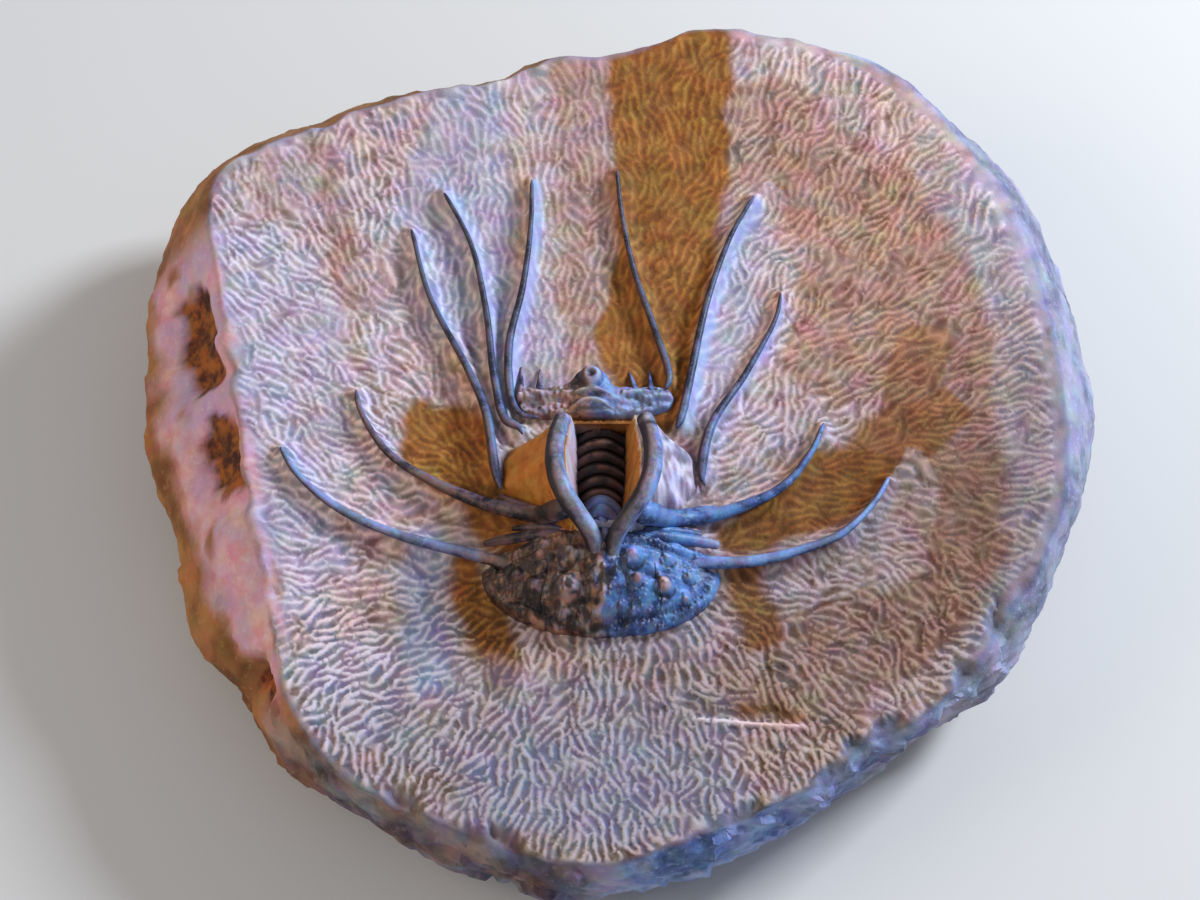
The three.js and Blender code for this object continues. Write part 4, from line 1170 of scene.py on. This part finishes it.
# %% Relief plates
def inside(points, outline):
    """Which points lie inside a closed outline, by counting crossings."""
    hit = np.zeros(len(points), bool)
    for (ax, ay), (bx, by) in zip(outline, np.roll(outline, -1, axis=0)):
        crosses = (ay > points[:, 1]) != (by > points[:, 1])
        with np.errstate(divide="ignore", invalid="ignore"):
            at = ax + (points[:, 1] - ay) * (bx - ax) / (by - ay)
        hit ^= crosses & (points[:, 0] < at)
    return hit


def edge_distance(points, outline):
    """Distance of each point from the nearest point of an outline."""
    return np.min([np.hypot(points[:, 0] - x, points[:, 1] - y) for x, y in outline], axis=0)


def edge_drop(edge, rounding):
    """How far a rounded edge lies below the plate, from the distance to it."""
    return rounding * (1 - np.sqrt(np.clip(1 - (1 - np.clip(edge / rounding, 0, 1)) ** 2, 0, 1)))


def relief_plate(knots, spacing, floor_z, top):
    """Closed plate: points, faces, number of top points; `top` gives heights from x, y, edge distance."""
    loop = smooth_line(knots, 400, closed=True)
    length = np.linalg.norm(np.diff(loop, axis=0), axis=1).sum()
    outline = smooth_line(knots, int(length / spacing), closed=True)
    count = len(outline)
    low, high = outline.min(axis=0), outline.max(axis=0)
    columns = np.arange(low[0], high[0], spacing)
    rows = np.arange(low[1], high[1], spacing * 0.87)
    grid = np.array([(x + (k % 2) * spacing / 2, y) for k, y in enumerate(rows) for x in columns])
    grid = grid[inside(grid, outline)]
    grid = grid[edge_distance(grid, outline) > spacing * 0.6]
    flat = np.vstack([outline, grid])
    ring = [(k, (k + 1) % count) for k in range(count)]
    joined = delaunay_2d_cdt([Vector(p) for p in flat], ring, [], 1, 1e-6)
    faces = np.array([ids[0] for ids in joined[3]])[np.array(joined[2])]
    a, b, c = (flat[faces[:, k]] for k in range(3))
    flipped = (b[:, 0] - a[:, 0]) * (c[:, 1] - a[:, 1]) < (b[:, 1] - a[:, 1]) * (c[:, 0] - a[:, 0])
    faces[flipped] = faces[flipped][:, ::-1]
    z = top(flat[:, 0], flat[:, 1], edge_distance(flat, outline))
    foot = np.column_stack([outline, np.full(count, floor_z)])
    middle = np.array([[*outline.mean(axis=0), floor_z]])
    points = np.vstack([np.column_stack([flat, z]), foot, middle])
    base = len(flat)
    sides = [f for k, n in ring for f in ((k, base + k, base + n), (k, base + n, n))]
    cap = [(base + n, base + k, base + count) for k, n in ring]
    return points, faces.tolist() + sides + cap, base


def join_shapes(*shapes):
    """One list of points and faces out of several closed shapes."""
    points, faces, start = [], [], 0
    for part_points, part_faces in shapes:
        points.append(np.asarray(part_points, float))
        faces += [tuple(i + start for i in face) for face in part_faces]
        start += len(part_points)
    return np.vstack(points), faces


# %% Vault of the head
HEAD_FLOOR_Z = 21.2
HEAD_MARGIN_Z = 23.0
HEAD_FRONT_Y, HEAD_BACK_Y = -28.9, -18.3
HEAD_HALF_WIDTH = 16.0
HEAD_RISE = 8.2
HEAD_ROUNDING = 0.55
PLATE_SPACING = 0.17
LOBES = [  # x, y, radius, height, share of wear and painted highlight on the top
    (-7.1, -24.9, 2.0, 1.4, 0.8), (2.3, -23.9, 0.95, 0.9, 0.7), (-6.6, -21.2, 1.4, 0.9, 0.25),
    (1.8, -21.4, 1.4, 0.9, 0.4), (-2.1, -20.7, 0.7, 0.7, 0.8), (-2.0, -23.0, 0.55, 0.6, 0.9),
    (6.2, -20.8, 1.1, 0.7, 0.3), (9.0, -22.6, 0.9, 0.6, 0.4), (-13.4, -22.4, 1.1, 0.7, 0.3),
    (-10.4, -20.4, 1.0, 0.7, 0.2), (0.4, -27.0, 0.9, 0.6, 0.2), (-4.6, -27.2, 1.0, 0.6, 0.3),
    (5.8, -24.2, 1.35, 1.4, 0.85), (-11.2, -24.1, 1.3, 1.2, 0.55), (-7.3, -27.5, 0.9, 0.5, 0.5),
    (8.6, -25.4, 0.7, 0.5, 0.4), (-9.6, -25.4, 0.5, 0.3, 0.6), (-3.4, -19.2, 0.6, 0.5, 0.5),
    (-0.8, -19.3, 0.6, 0.5, 0.6), (10.8, -20.4, 0.8, 0.5, 0.3),
]
FURROWS = [  # points of a furrow, depth, width
    ([(-4.9, -28.3), (-4.2, -25.5), (-4.8, -22.5), (-4.2, -18.5)], 0.55, 0.5),
    ([(0.5, -28.3), (1.2, -25.5), (0.2, -22.5), (-0.4, -18.5)], 0.55, 0.5),
    ([(-9.6, -23.0), (-7.2, -22.6), (-4.6, -22.9)], 0.6, 0.45),
    ([(0.6, -23.1), (2.6, -23.0), (4.4, -23.2)], 0.6, 0.45),
    ([(-15.8, -20.4), (-10, -19.5), (-2.4, -19.9), (5, -19.5), (11.3, -20.4)], 0.6, 0.45),
    ([(-16.2, -23.4), (-13.2, -25.2), (-8.5, -27.4), (-2.4, -28.2), (3.8, -27.6), (8.6, -26.0),
      (11.2, -23.4)], 0.5, 0.4),
]
furrow_lines = [(smooth_line(knots, 60), depth, width) for knots, depth, width in FURROWS]
bead_random = np.random.default_rng(11)
bead_places = bead_random.uniform((-18, -28.8), (13, -18.3), (520, 2))
BEADS = [(x, y, bead_random.uniform(0.14, 0.34)) for x, y in bead_places]
HEAD_OUTLINE = [(-17.3, -18.9), (-17.8, -21.4), (-16.6, -24.2), (-13.6, -26.6), (-9.6, -28.0),
                (-6, -28.9), (-2.4, -29.3), (1.4, -29.1), (4.8, -28.3), (8.6, -27.1), (11.6, -24.8),
                (13.1, -21.6), (13.1, -18.9), (9, -18.5), (4.9, -18.3), (1, -18.0), (-2.4, -17.9),
                (-6, -18.0), (-9.7, -18.3), (-13.6, -18.6)]
head_margin = smooth_line(HEAD_OUTLINE, 300, closed=True)


# %% The surface of the head
def dome(x, y, cx, cy, radius):
    """Round knob from 0 at its foot to 1 at its top."""
    away = ((x - cx) ** 2 + (y - cy) ** 2) / radius**2
    return np.clip(1 - away, 0, 1) ** 1.5


def head_surface(x, y):
    """Height of the head, and how worn, dusty, dark and rosy it is; the wear carries painted highlights and
    the dark painted shade.
    """
    across = np.abs(x - AXIS_X) / HEAD_HALF_WIDTH
    back = np.clip((y - HEAD_FRONT_Y) / (HEAD_BACK_Y - HEAD_FRONT_Y), 0.001, 1)
    vault = HEAD_RISE * np.sin(back * np.pi / 2) ** 0.8 * np.clip(1 - across**1.4, 0, 1)
    z = HEAD_MARGIN_Z + vault
    wear_and_highlight, dusty, dark, rosy = np.zeros((4, len(x)))
    for line, depth, width in furrow_lines:
        away = np.min([np.hypot(x - px, y - py) for px, py in line], axis=0)
        cut = np.exp(-(away / width) ** 2)
        z = z - depth * cut
        # Painted shade in the furrows.
        dark = np.maximum(dark, 0.5 * cut)
    for cx, cy, radius, rise, wear in LOBES:
        knob = dome(x, y, cx, cy, radius)
        z = z + rise * knob
        # Pale knob tops: wear with painted highlight.
        wear_and_highlight = np.maximum(wear_and_highlight, wear * smooth_step(knob, 0.3, 0.95))
        rosy = np.maximum(rosy, smooth_step(wear * knob, 0.15, 0.5))
        away = np.hypot(x - cx, y - cy) / radius
        shaded_side = smooth_step(cy - y + 0.2 * (x - cx), -0.2, 0.6)
        dark = np.maximum(dark, 0.85 * np.exp(-((away - 1.02) / 0.16) ** 2) * shaded_side)
    ridge_line = np.exp(-((x + 2.1) / 0.3) ** 2) * smooth_step(y, -26.6, -26.0) * smooth_step(-y, 23.2, 23.6)
    z = z + 0.35 * ridge_line
    wear_and_highlight = np.maximum(wear_and_highlight, 0.9 * ridge_line)
    rosy = np.maximum(rosy, ridge_line)
    for cx, cy, radius in BEADS:
        bead = dome(x, y, cx, cy, radius)
        z = z + 0.8 * radius * bead
        wear_and_highlight = np.maximum(wear_and_highlight, (0.25 + 0.55 * (-1.5 < cx < 6.5)) * smooth_step(bead, 0.5, 1))
    places = on_plan(x, y)
    z = z + 0.3 * soft_noise(places, 1.3, 61) + 0.12 * soft_noise(places, 0.5, 62)
    dusty = 0.2 * smooth_step(soft_noise(places, 1.7, 63), 0.2, 0.6) * smooth_step(-x, -1, 3)
    middle = smooth_step(-np.abs(x + 5), -8, -4)
    wear_and_highlight = np.maximum(wear_and_highlight, (0.15 + 0.75 * middle) * smooth_step(soft_noise(places, 1.2, 68), 0.0, 0.4))
    blotches = smooth_step(soft_noise(places, 1.5, 66), 0.0, 0.3)
    dark = np.maximum(dark, (0.9 - 0.7 * smooth_step(x, -2, 2)) * blotches)
    z = z - edge_drop(edge_distance(np.column_stack([x, y]), head_margin), HEAD_ROUNDING)
    return z, wear_and_highlight, dusty, dark, rosy


def plate_heights(x, y, edge):
    """The head's surface with a fine groove along the edge of a plate."""
    return head_surface(x, y)[0] - 0.05 * np.exp(-(edge / 0.12) ** 2)


# %% Spines
def loft(rings):
    """Closed shape through rings of one count, with a fan over each end."""
    count = len(rings[0])
    points = np.vstack([*rings, rings[0].mean(axis=0, keepdims=True), rings[-1].mean(axis=0, keepdims=True)])
    faces = []
    for k in range(len(rings) - 1):
        for i in range(count):
            n = (i + 1) % count
            faces.append((k * count + i, k * count + n, (k + 1) * count + n, (k + 1) * count + i))
    last = (len(rings) - 1) * count
    faces += [((i + 1) % count, i, len(points) - 2) for i in range(count)]
    faces += [(last + i, last + (i + 1) % count, len(points) - 1) for i in range(count)]
    return points, faces


def tube(line, radii, sides=20, broken_tip=False):
    """Closed tapering tube along a line, with one radius per point. A broken tip is hollowed."""
    along = np.gradient(line, axis=0)
    along /= np.linalg.norm(along, axis=1, keepdims=True)
    side = np.cross([0, 0, 1.0], along)
    side /= np.linalg.norm(side, axis=1, keepdims=True)
    up = np.cross(along, side)
    turn = np.arange(sides) * 2 * np.pi / sides
    rings = [p + r * (np.cos(turn)[:, None] * s + np.sin(turn)[:, None] * u)
             for p, r, s, u in zip(line, radii, side, up)]
    if broken_tip:
        rings.append(line[-1] - 0.2 * along[-1] + 0.62 * (rings[-1] - line[-1]))
    return loft(rings)


# %% How a spine is shaped
SPINE_STEP = 0.45
# Where a spine grows out of the body: points from the body to its base, height and radius at the body.
ROOTS = {
    "free_cheek_left": ([(-12.4, -20.8)], 24.2, 0.8),
    "free_cheek_right": ([(8.0, -20.6)], 24.2, 0.8),
    "pleural_spine_front_left": ([(-5.9, -16.3), (-7.6, -15.9), (-9.2, -15.3)], 28.9, 1.5),
    "pleural_spine_front_right": ([(1.8, -16.8), (3.3, -16.3), (4.9, -15.6)], 29.1, 1.65),
    "pleural_spine_middle_left": ([(-15.4, -10.0)], 26.4, 0.4),
    "pleural_spine_middle_right": ([(11.2, -9.2)], 26.0, 0.3),
    "pleural_spine_rear_left": ([(-12.7, -2.3)], 27.6, 0.3),
    "pleural_spine_rear_right": ([(7.6, -1.6)], 28.0, 0.5),
    "pygidial_spine_left": ([(-10.6, 0.1), (-12.6, 0.5), (-13.9, 2.3)], 27.8, 0.3),
    "pygidial_spine_right": ([(6.2, 4.6)], 27.5, 0.45),
}


def spine_shape(name, route, radii):
    """A spine half sunk in its ridge, from the body to the tip, wavering a little like real shell."""
    root, root_z, root_radius = ROOTS.get(name, ([], 0, 0))
    length = np.linalg.norm(np.diff(smooth_line([*root, *route], 400), axis=0), axis=1).sum()
    line = smooth_line([*root, *route], int(length / SPINE_STEP))
    from_base = (line - np.array(route[0])) @ (np.array(route[1]) - np.array(route[0]))
    start = int(np.argmax(from_base > 0)) if root else 0
    share = np.clip((np.arange(len(line)) - start) / (len(line) - 1 - start), 0, 1)
    radius = np.interp(share, [0, 0.5, 0.97, 1], [radii[0], radii[1], radii[2] * 1.06, radii[2] * 0.3])
    z = rock_height(line[:, 0], line[:, 1]) + 0.2 * radius
    rooting = np.clip(1 - np.arange(len(line)) / max(start + 3, 1), 0, 1) if root else np.zeros(len(line))
    z = z + (np.maximum(root_z, z) - z) * smooth_step(rooting, 0, 0.7)
    if root:
        radius = radius + (root_radius - radii[0]) * smooth_step(rooting, 0, 1)
        radius[:3] *= (0.35, 0.7, 0.92)
    z = np.convolve(np.pad(z, 5, mode="edge"), np.ones(11) / 11, mode="valid")
    line = np.column_stack([line, z])
    radius = radius * (1 + 0.08 * soft_noise(line, 1.6, sum(map(ord, name)) % 50))
    return tube(line, radius)


# %% Finishing a piece of shell
def side_blue(points):
    """How blue the shell is: blue on the viewer's right, a painted reflection of the right-hand lamp, and
    along the left cheek's spine, else brown.
    """
    blue = smooth_step(points[:, 0] + 3.0 * soft_noise(points, 2.2, 60), -3.8, 0.4)
    return np.maximum(blue, 0.8 * smooth_step(-points[:, 0], 16.5, 19))


def finish_shell(piece, node, base_blue=None, wear_and_highlight=0.0, dusty=0.0, dark=0.0, lit_edge=0.0):
    """Attributes and seat of a piece of shell, which is bluer where it faces the viewer's right."""
    count = len(piece.data.vertices)
    points = np.empty(3 * count, np.float32)
    piece.data.vertices.foreach_get("co", points)
    points = points.reshape(-1, 3) / MM - DRAWING_SHIFT
    facing = facings(piece)
    if base_blue is None:
        base_blue = side_blue(points)
    # Painted reflection: bluer where the shell faces the cool right-hand lamp.
    blue = np.clip(base_blue + 0.6 * facing[:, 0], 0, 1)
    # Painted shade on the sides that face left.
    dark = np.maximum(dark, 0.85 * smooth_step(-facing[:, 0], 0.0, 0.6))
    # Painted highlight on edges that face right, kept with the wear mark.
    lit_edge = lit_edge * smooth_step(facing[:, 0], 0.45, 0.9)
    wear_and_highlight = np.maximum(wear_and_highlight, lit_edge * (0.6 + 0.8 * soft_noise(points, 1.2, 67)))
    for name, values in (("blue", blue), ("wear_and_highlight", wear_and_highlight), ("dusty", dusty), ("dark", dark)):
        paint_points(piece, name, np.clip(np.broadcast_to(values, count), 0, 1))
    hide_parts(node)
    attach(piece, "root")


# %% Head plates
# The seams between the plates: the viewer's right one and left one.
SUTURES = {
    1: [(4.8, -28.4), (5.3, -26), (4.5, -22.5), (4.8, -18.2)],
    -1: [(-9.5, -28.1), (-10.1, -26), (-9.3, -22.5), (-9.6, -18.2)],
}
CRANIDIUM = [*SUTURES[1], (1, -18.0), (-2.4, -17.9), (-6, -18.0),
             *SUTURES[-1][::-1], (-6, -28.9), (-2.4, -29.3), (1.4, -29.1)]
SUTURE_GAP = 0.05
CHEEKS = {
    "free_cheek_right": [(8.6, -27.1), (11.6, -24.8), (13.1, -21.6), (13.1, -18.9), (9, -18.5)]
    + [(x + SUTURE_GAP, y) for x, y in SUTURES[1][::-1]],
    "free_cheek_left": [(-13.6, -18.6), (-17.3, -18.9), (-17.8, -21.4), (-16.6, -24.2), (-13.6, -26.6)]
    + [(x - SUTURE_GAP, y) for x, y in SUTURES[-1]],
}


def head_plate(name, knots, *extras):
    """A plate of the head with its extra shapes, made and finished."""
    points, faces, top_count = relief_plate(knots, PLATE_SPACING, HEAD_FLOOR_Z, plate_heights)
    _, *marks = head_surface(points[:top_count, 0], points[:top_count, 1])
    points, faces = join_shapes((points, faces), *extras)
    wear_and_highlight, dusty, dark, rosy = (np.concatenate([mark, np.zeros(len(points) - top_count)]) for mark in marks)
    piece = make_piece(name + "_shell", points, faces, shell)
    on_spine = np.arange(len(points)) >= top_count + 200
    # Painted highlight on the upward-facing side of the cheek's spine.
    wear_and_highlight = np.maximum(wear_and_highlight, 0.3 * on_spine * smooth_step(facings(piece)[:, 2], 0.2, 0.8))
    finish_shell(piece, name, side_blue(points) * (1 - 0.85 * rosy), wear_and_highlight, dusty, dark)
    print(name, "faces:", len(faces))


head_plate("cranidium", CRANIDIUM)
for name, outline_knots in CHEEKS.items():
    head_plate(name, outline_knots, spine_shape(name, *GENAL_SPINES[name]))

# %% Spines of the thorax and tail
# Side ribs of the segments in front of the first long spine: points from the body outwards, radius.
RIBS = {
    "pleural_spine_front_left": [([(-5.6, -17.7), (-9.5, -17.5), (-13.5, -17.1), (-17.4, -16.6)], 0.75),
                                 ([(-6.4, -16.9), (-10.0, -16.3), (-13.8, -15.6)], 0.5),
                                 ([(-8.0, -15.3), (-11.0, -13.8), (-13.8, -12.4), (-15.6, -10.6)], 1.15)],
    "pleural_spine_front_right": [([(1.2, -17.8), (4.6, -17.7), (8.6, -17.3), (12.8, -16.7)], 0.8),
                                  ([(3.2, -17.0), (6.8, -16.5), (10.6, -15.9)], 0.55),
                                  ([(4.0, -15.9), (7.0, -14.3), (9.8, -13.2), (12.8, -12.3)], 1.1)],
}
RIB_TOP_Z = 27.8  # the stone under a rib counts as no higher than this


def rib_shape(route, radius):
    """A side rib lying on the shoulder, thickest near the body."""
    line = smooth_line(route, 30)
    share = np.linspace(0, 1, len(line))
    z = np.minimum(rock_height(line[:, 0], line[:, 1]), RIB_TOP_Z) + 0.25 * radius
    return tube(np.column_stack([line, z]), radius * np.interp(share, [0, 0.8, 1], [1, 0.95, 0.6]), sides=14)


for name, (route, radii) in BODY_SPINES.items():
    shapes = [spine_shape(name, route, radii)]
    shapes += [rib_shape(*rib) for rib in RIBS.get(name, [])]
    points, faces = join_shapes(*shapes)
    spine = make_piece(name + "_shell", points, faces, shell)
    x_points = points[:, 0]
    if name in RIBS:
        wear_and_highlight = 0.6 * smooth_step(np.abs(x_points - AXIS_X), 11.5, 14) * (points[:, 1] < -15.9)
        far_out = 0.0
        blue_share = smooth_step(x_points, -12, 2)
        shaded = 0.45 * (1 - blue_share) + 0.15 * blue_share
    else:
        wear_and_highlight = 0.0
        far_out = smooth_step(points[:, 1], 2, 16)
        blue_share = 0.5
        shaded = 0.4 + 0.25 * far_out
    finish_shell(spine, name, 0.35 + 0.5 * blue_share, wear_and_highlight, 0.0, shaded, 0.2 * (1 - far_out))
    print(name, "faces:", len(faces))

# %% Horns
HORN_ROUTE = [(0.9, -20.8, 29.6), (1.7, -19.4, 32.0), (3.4, -17.6, 34.0), (5, -15.6, 35.3),
              (6.1, -12.6, 35.6), (6.35, -8.6, 34.5), (6, -5.2, 32.9), (5.4, -2.4, 31.6)]
HORN_RADII = (1.1, 1.28, 1.12)
HORN_SIDES = 28
for side, sign in (("left", -1), ("right", 1)):
    line = smooth_line([(HORN_X + sign * away, y, z) for away, y, z in HORN_ROUTE], 60)
    share = np.linspace(0, 1, len(line))
    radius = np.interp(share, [0, 0.5, 1], HORN_RADII) * (1 + 0.05 * soft_noise(line, 1.5, 70))
    points, faces = tube(line, radius, sides=HORN_SIDES, broken_tip=True)
    horn = make_piece(f"horn_{side}_shell", points, faces, shell)
    keep_sharp(horn, 50, 0)
    facing = facings(horn)
    # Painted light across each horn: a highlight on the side facing right, kept with the wear mark, shade on
    # the side facing left, and grey on the band between.
    streaks = 0.5 + 0.8 * soft_noise(points * [1, 0.25, 1], 0.7, 71)
    wear_and_highlight = (0.75 if side == "left" else 0.3) * smooth_step(facing[:, 0], 0.1, 0.75) * streaks
    dusty = 0.75 * smooth_step(-np.abs(facing[:, 0] - 0.05), -0.45, -0.15)
    dark = 0.97 * smooth_step(-facing[:, 0], 0.25, 0.55)
    core = np.zeros(len(points))
    core[-HORN_SIDES - 2:-2] = core[-1] = 0.8  # the broken end shows the pale filling of the horn
    if side == "right":
        along = np.append(np.repeat(np.append(share, 1), HORN_SIDES), (0, 1))
        chipped = smooth_step(facing[:, 2] - 0.4 * facing[:, 0], 0.55, 0.75)
        core = np.maximum(core, 0.9 * chipped * np.exp(-((along - 0.955) / 0.02) ** 2))
        crack = 0.9 * np.exp(-((along - 0.9) / 0.02) ** 2) * smooth_step(facing[:, 2], 0, 0.4)
        dark = np.maximum(dark, crack)
    finish_shell(horn, f"horn_{side}", 0.5, np.maximum(wear_and_highlight, core), dusty * (1 - core), dark * (1 - core))
    print("horn", side, "faces:", len(faces))

# %% Thorax rings
RING_COUNT = 9
RING_POINTS = 25  # across a ring's top
RING_LENGTH = 0.97  # of the way to the next ring
RING_CREST_Z = 26.1
NECK_RISE = 2.3  # the first rings climb to the head
RING_STATIONS = [  # share of a ring's length, height over its crest
    (0.0, -0.8), (0.08, -0.45), (0.3, -0.18), (0.5, 0.0), (0.7, -0.2), (0.92, -0.45), (1.0, -0.9),
]
ring_front, ring_rear = SLOT[0, 0] + 0.3, SLOT[-1, 0]
ring_pitch = (ring_rear - ring_front) / RING_COUNT
turn = np.linspace(-1, 1, RING_POINTS)
for n in range(RING_COUNT):
    front_y = ring_front + n * ring_pitch
    half_width = float(np.interp(front_y, SLOT[:, 0], SLOT[:, 1])) + 0.6
    crest_z = RING_CREST_Z + NECK_RISE * float(smooth_step(-front_y, 11.5, 15.5))
    tops = []
    for share, drop in RING_STATIONS:
        y = front_y + share * ring_pitch * RING_LENGTH + 0.9 * (1 - turn**2)
        z = crest_z + drop - 1.5 * turn**2
        tops.append(np.column_stack([AXIS_X + half_width * turn, y, z]))
    under_z = np.full(RING_POINTS, SLOT_FLOOR_Z - 0.2)
    unders = [np.column_stack([top[::-1, 0], top[::-1, 1], under_z]) for top in tops]
    points, faces = loft([np.vstack([top, under]) for top, under in zip(tops, unders)])
    ring_piece = make_piece(f"thoracic_ring_{n + 1}_shell", points, faces, shell)
    stations = np.array([share for share, _ in RING_STATIONS])
    crest_line = np.repeat(np.exp(-((stations - 0.5) / 0.2) ** 2), 2 * RING_POINTS)
    crest_line = np.concatenate([crest_line, [0, 0]])
    near_neck = float(smooth_step(-front_y, 12.0, 14.0))
    # Painted shade: the rings down in the slot are nearly black, a little lighter on their crests.
    finish_shell(ring_piece, f"thoracic_ring_{n + 1}", 1.3 * near_neck, 0.4 * near_neck,
                 0.0, (1 - near_neck) * (0.97 - 0.4 * crest_line))
print("rings:", RING_COUNT, "spaced", round(float(ring_pitch), 2), "mm apart")

# %% Tail plate
TAIL_X = -3.7
TAIL_FLOOR_Z, TAIL_TOP_Z = 24.0, 26.7
TAIL_SPACING = 0.2
TAIL_ROUNDING = 0.5
TAIL_OUTLINE = [(TAIL_X, 0.6), (0.5, 0.9), (4.2, 1.6), (6.6, 2.4), (7.2, 3.7), (6.2, 5.0), (2.6, 5.3),
                (-0.6, 5.4), (-1.9, 6.9), (TAIL_X, 7.7), (-5.5, 6.9), (-6.9, 5.5), (-10, 5.4),
                (-12.9, 5.0), (-13.7, 3.4), (-12.6, 1.5), (-8.5, 0.8)]
KNOB = (TAIL_X, 5.8, 1.7)  # x, y and radius of the last knob of the axis


def tail_marks(x, y):
    """Height of the tail, how worn and how dark: a ringed axis with a hollow knob, and low rough wings; the
    wear carries painted highlights, the dark painted shade in its hollows.
    """
    dx = x - TAIL_X
    sides = np.clip(1 - (dx / 11.2) ** 2, 0, 1)
    axis = np.exp(-(dx / 2.6) ** 4)
    arcs = np.exp(-((y - 2.6 + 0.12 * dx**2) / 0.3) ** 2) + np.exp(-((y - 4.1 + 0.10 * dx**2) / 0.3) ** 2)
    places = on_plan(x, y)
    rough = soft_noise(places * [0.4, 1, 1], 0.8, 64)
    z = TAIL_TOP_Z + 0.8 * sides + axis * (0.7 + 0.35 * smooth_step(y, 1, 6)) + 0.5 * axis * arcs
    away = np.hypot(x - KNOB[0], y - KNOB[1]) / KNOB[2]
    z = z + 1.9 * np.clip(1 - away**2, 0, 1) ** 0.8 - 1.0 * np.exp(-(away / 0.36) ** 2)
    bar = np.exp(-((y - 3.6 - 0.06 * np.abs(dx)) / 0.9) ** 2)
    z = z + (0.7 * bar + 0.55 * rough + 0.25 * soft_noise(places, 0.45, 65)) * (1 - axis)
    # Pale on the axis rings and round the knob's rim: wear with painted highlight.
    wear_and_highlight = np.maximum(0.85 * axis * arcs, 0.8 * np.exp(-((away - 0.62) / 0.2) ** 2))
    wear_and_highlight = np.maximum(wear_and_highlight, (1 - axis) * (0.3 + 0.4 * smooth_step(rough + 0.3 * bar, 0.1, 0.6)))
    pit = np.exp(-((dx - 0.9) / 0.8) ** 2 - ((y - 3.3) / 0.4) ** 2)
    # Painted shade in the knob's hollow, the front of the axis, the pit and the low places of the wings.
    dark = np.maximum(0.95 * np.exp(-(away / 0.4) ** 2), 0.8 * axis * np.exp(-((y - 1.3) / 0.5) ** 2))
    dark = np.maximum(dark, np.maximum(0.9 * pit, 0.45 * smooth_step(-rough, 0.15, 0.5) * (1 - axis)))
    return z, np.clip(wear_and_highlight, 0, 1), dark


def tail_surface(x, y, edge):
    """Height of the tail with its rounded edge."""
    return tail_marks(x, y)[0] - edge_drop(edge, TAIL_ROUNDING)


points, faces, top_count = relief_plate(TAIL_OUTLINE, TAIL_SPACING, TAIL_FLOOR_Z, tail_surface)
_, wear_and_highlight, dark = tail_marks(points[:top_count, 0], points[:top_count, 1])
PRICKLES = [  # foot and tip of the short spines behind the tail
    ((-13.0, 4.2), (-13.0, 9.3)), ((-10.6, 4.6), (-10.5, 9.0)),
    ((2.2, 4.6), (1.4, 8.2)), ((4.2, 4.4), (4.1, 8.4)),
]
PRICKLE_POINTS = 16
PRICKLE_FOOT_Z = 27.0
prickles = []
for base, tip in PRICKLES:
    line = np.linspace(base, tip, PRICKLE_POINTS)
    tip_z = rock_height(line[-1:, 0], line[-1:, 1])[0] + 0.15
    z = np.linspace(PRICKLE_FOOT_Z, tip_z, PRICKLE_POINTS)
    radii = np.linspace(0.55, 0.12, PRICKLE_POINTS)
    prickles.append(tube(np.column_stack([line, z]), radii, sides=12))
points, faces = join_shapes((points, faces), *prickles)
tail = make_piece("pygidium_shell", points, faces, shell)
rest = np.zeros(len(points) - top_count)
# Bluer mostly on the tail's right: painted reflection of the right-hand lamp.
tail_blue = np.maximum(0.75 * smooth_step(points[:, 0], -5.5, -2.5), 0.3 * smooth_step(-points[:, 0], 6.5, 8))
finish_shell(tail, "pygidium", tail_blue, np.concatenate([wear_and_highlight, rest]), 0.0, np.concatenate([dark, rest]))
print("tail faces:", len(faces))
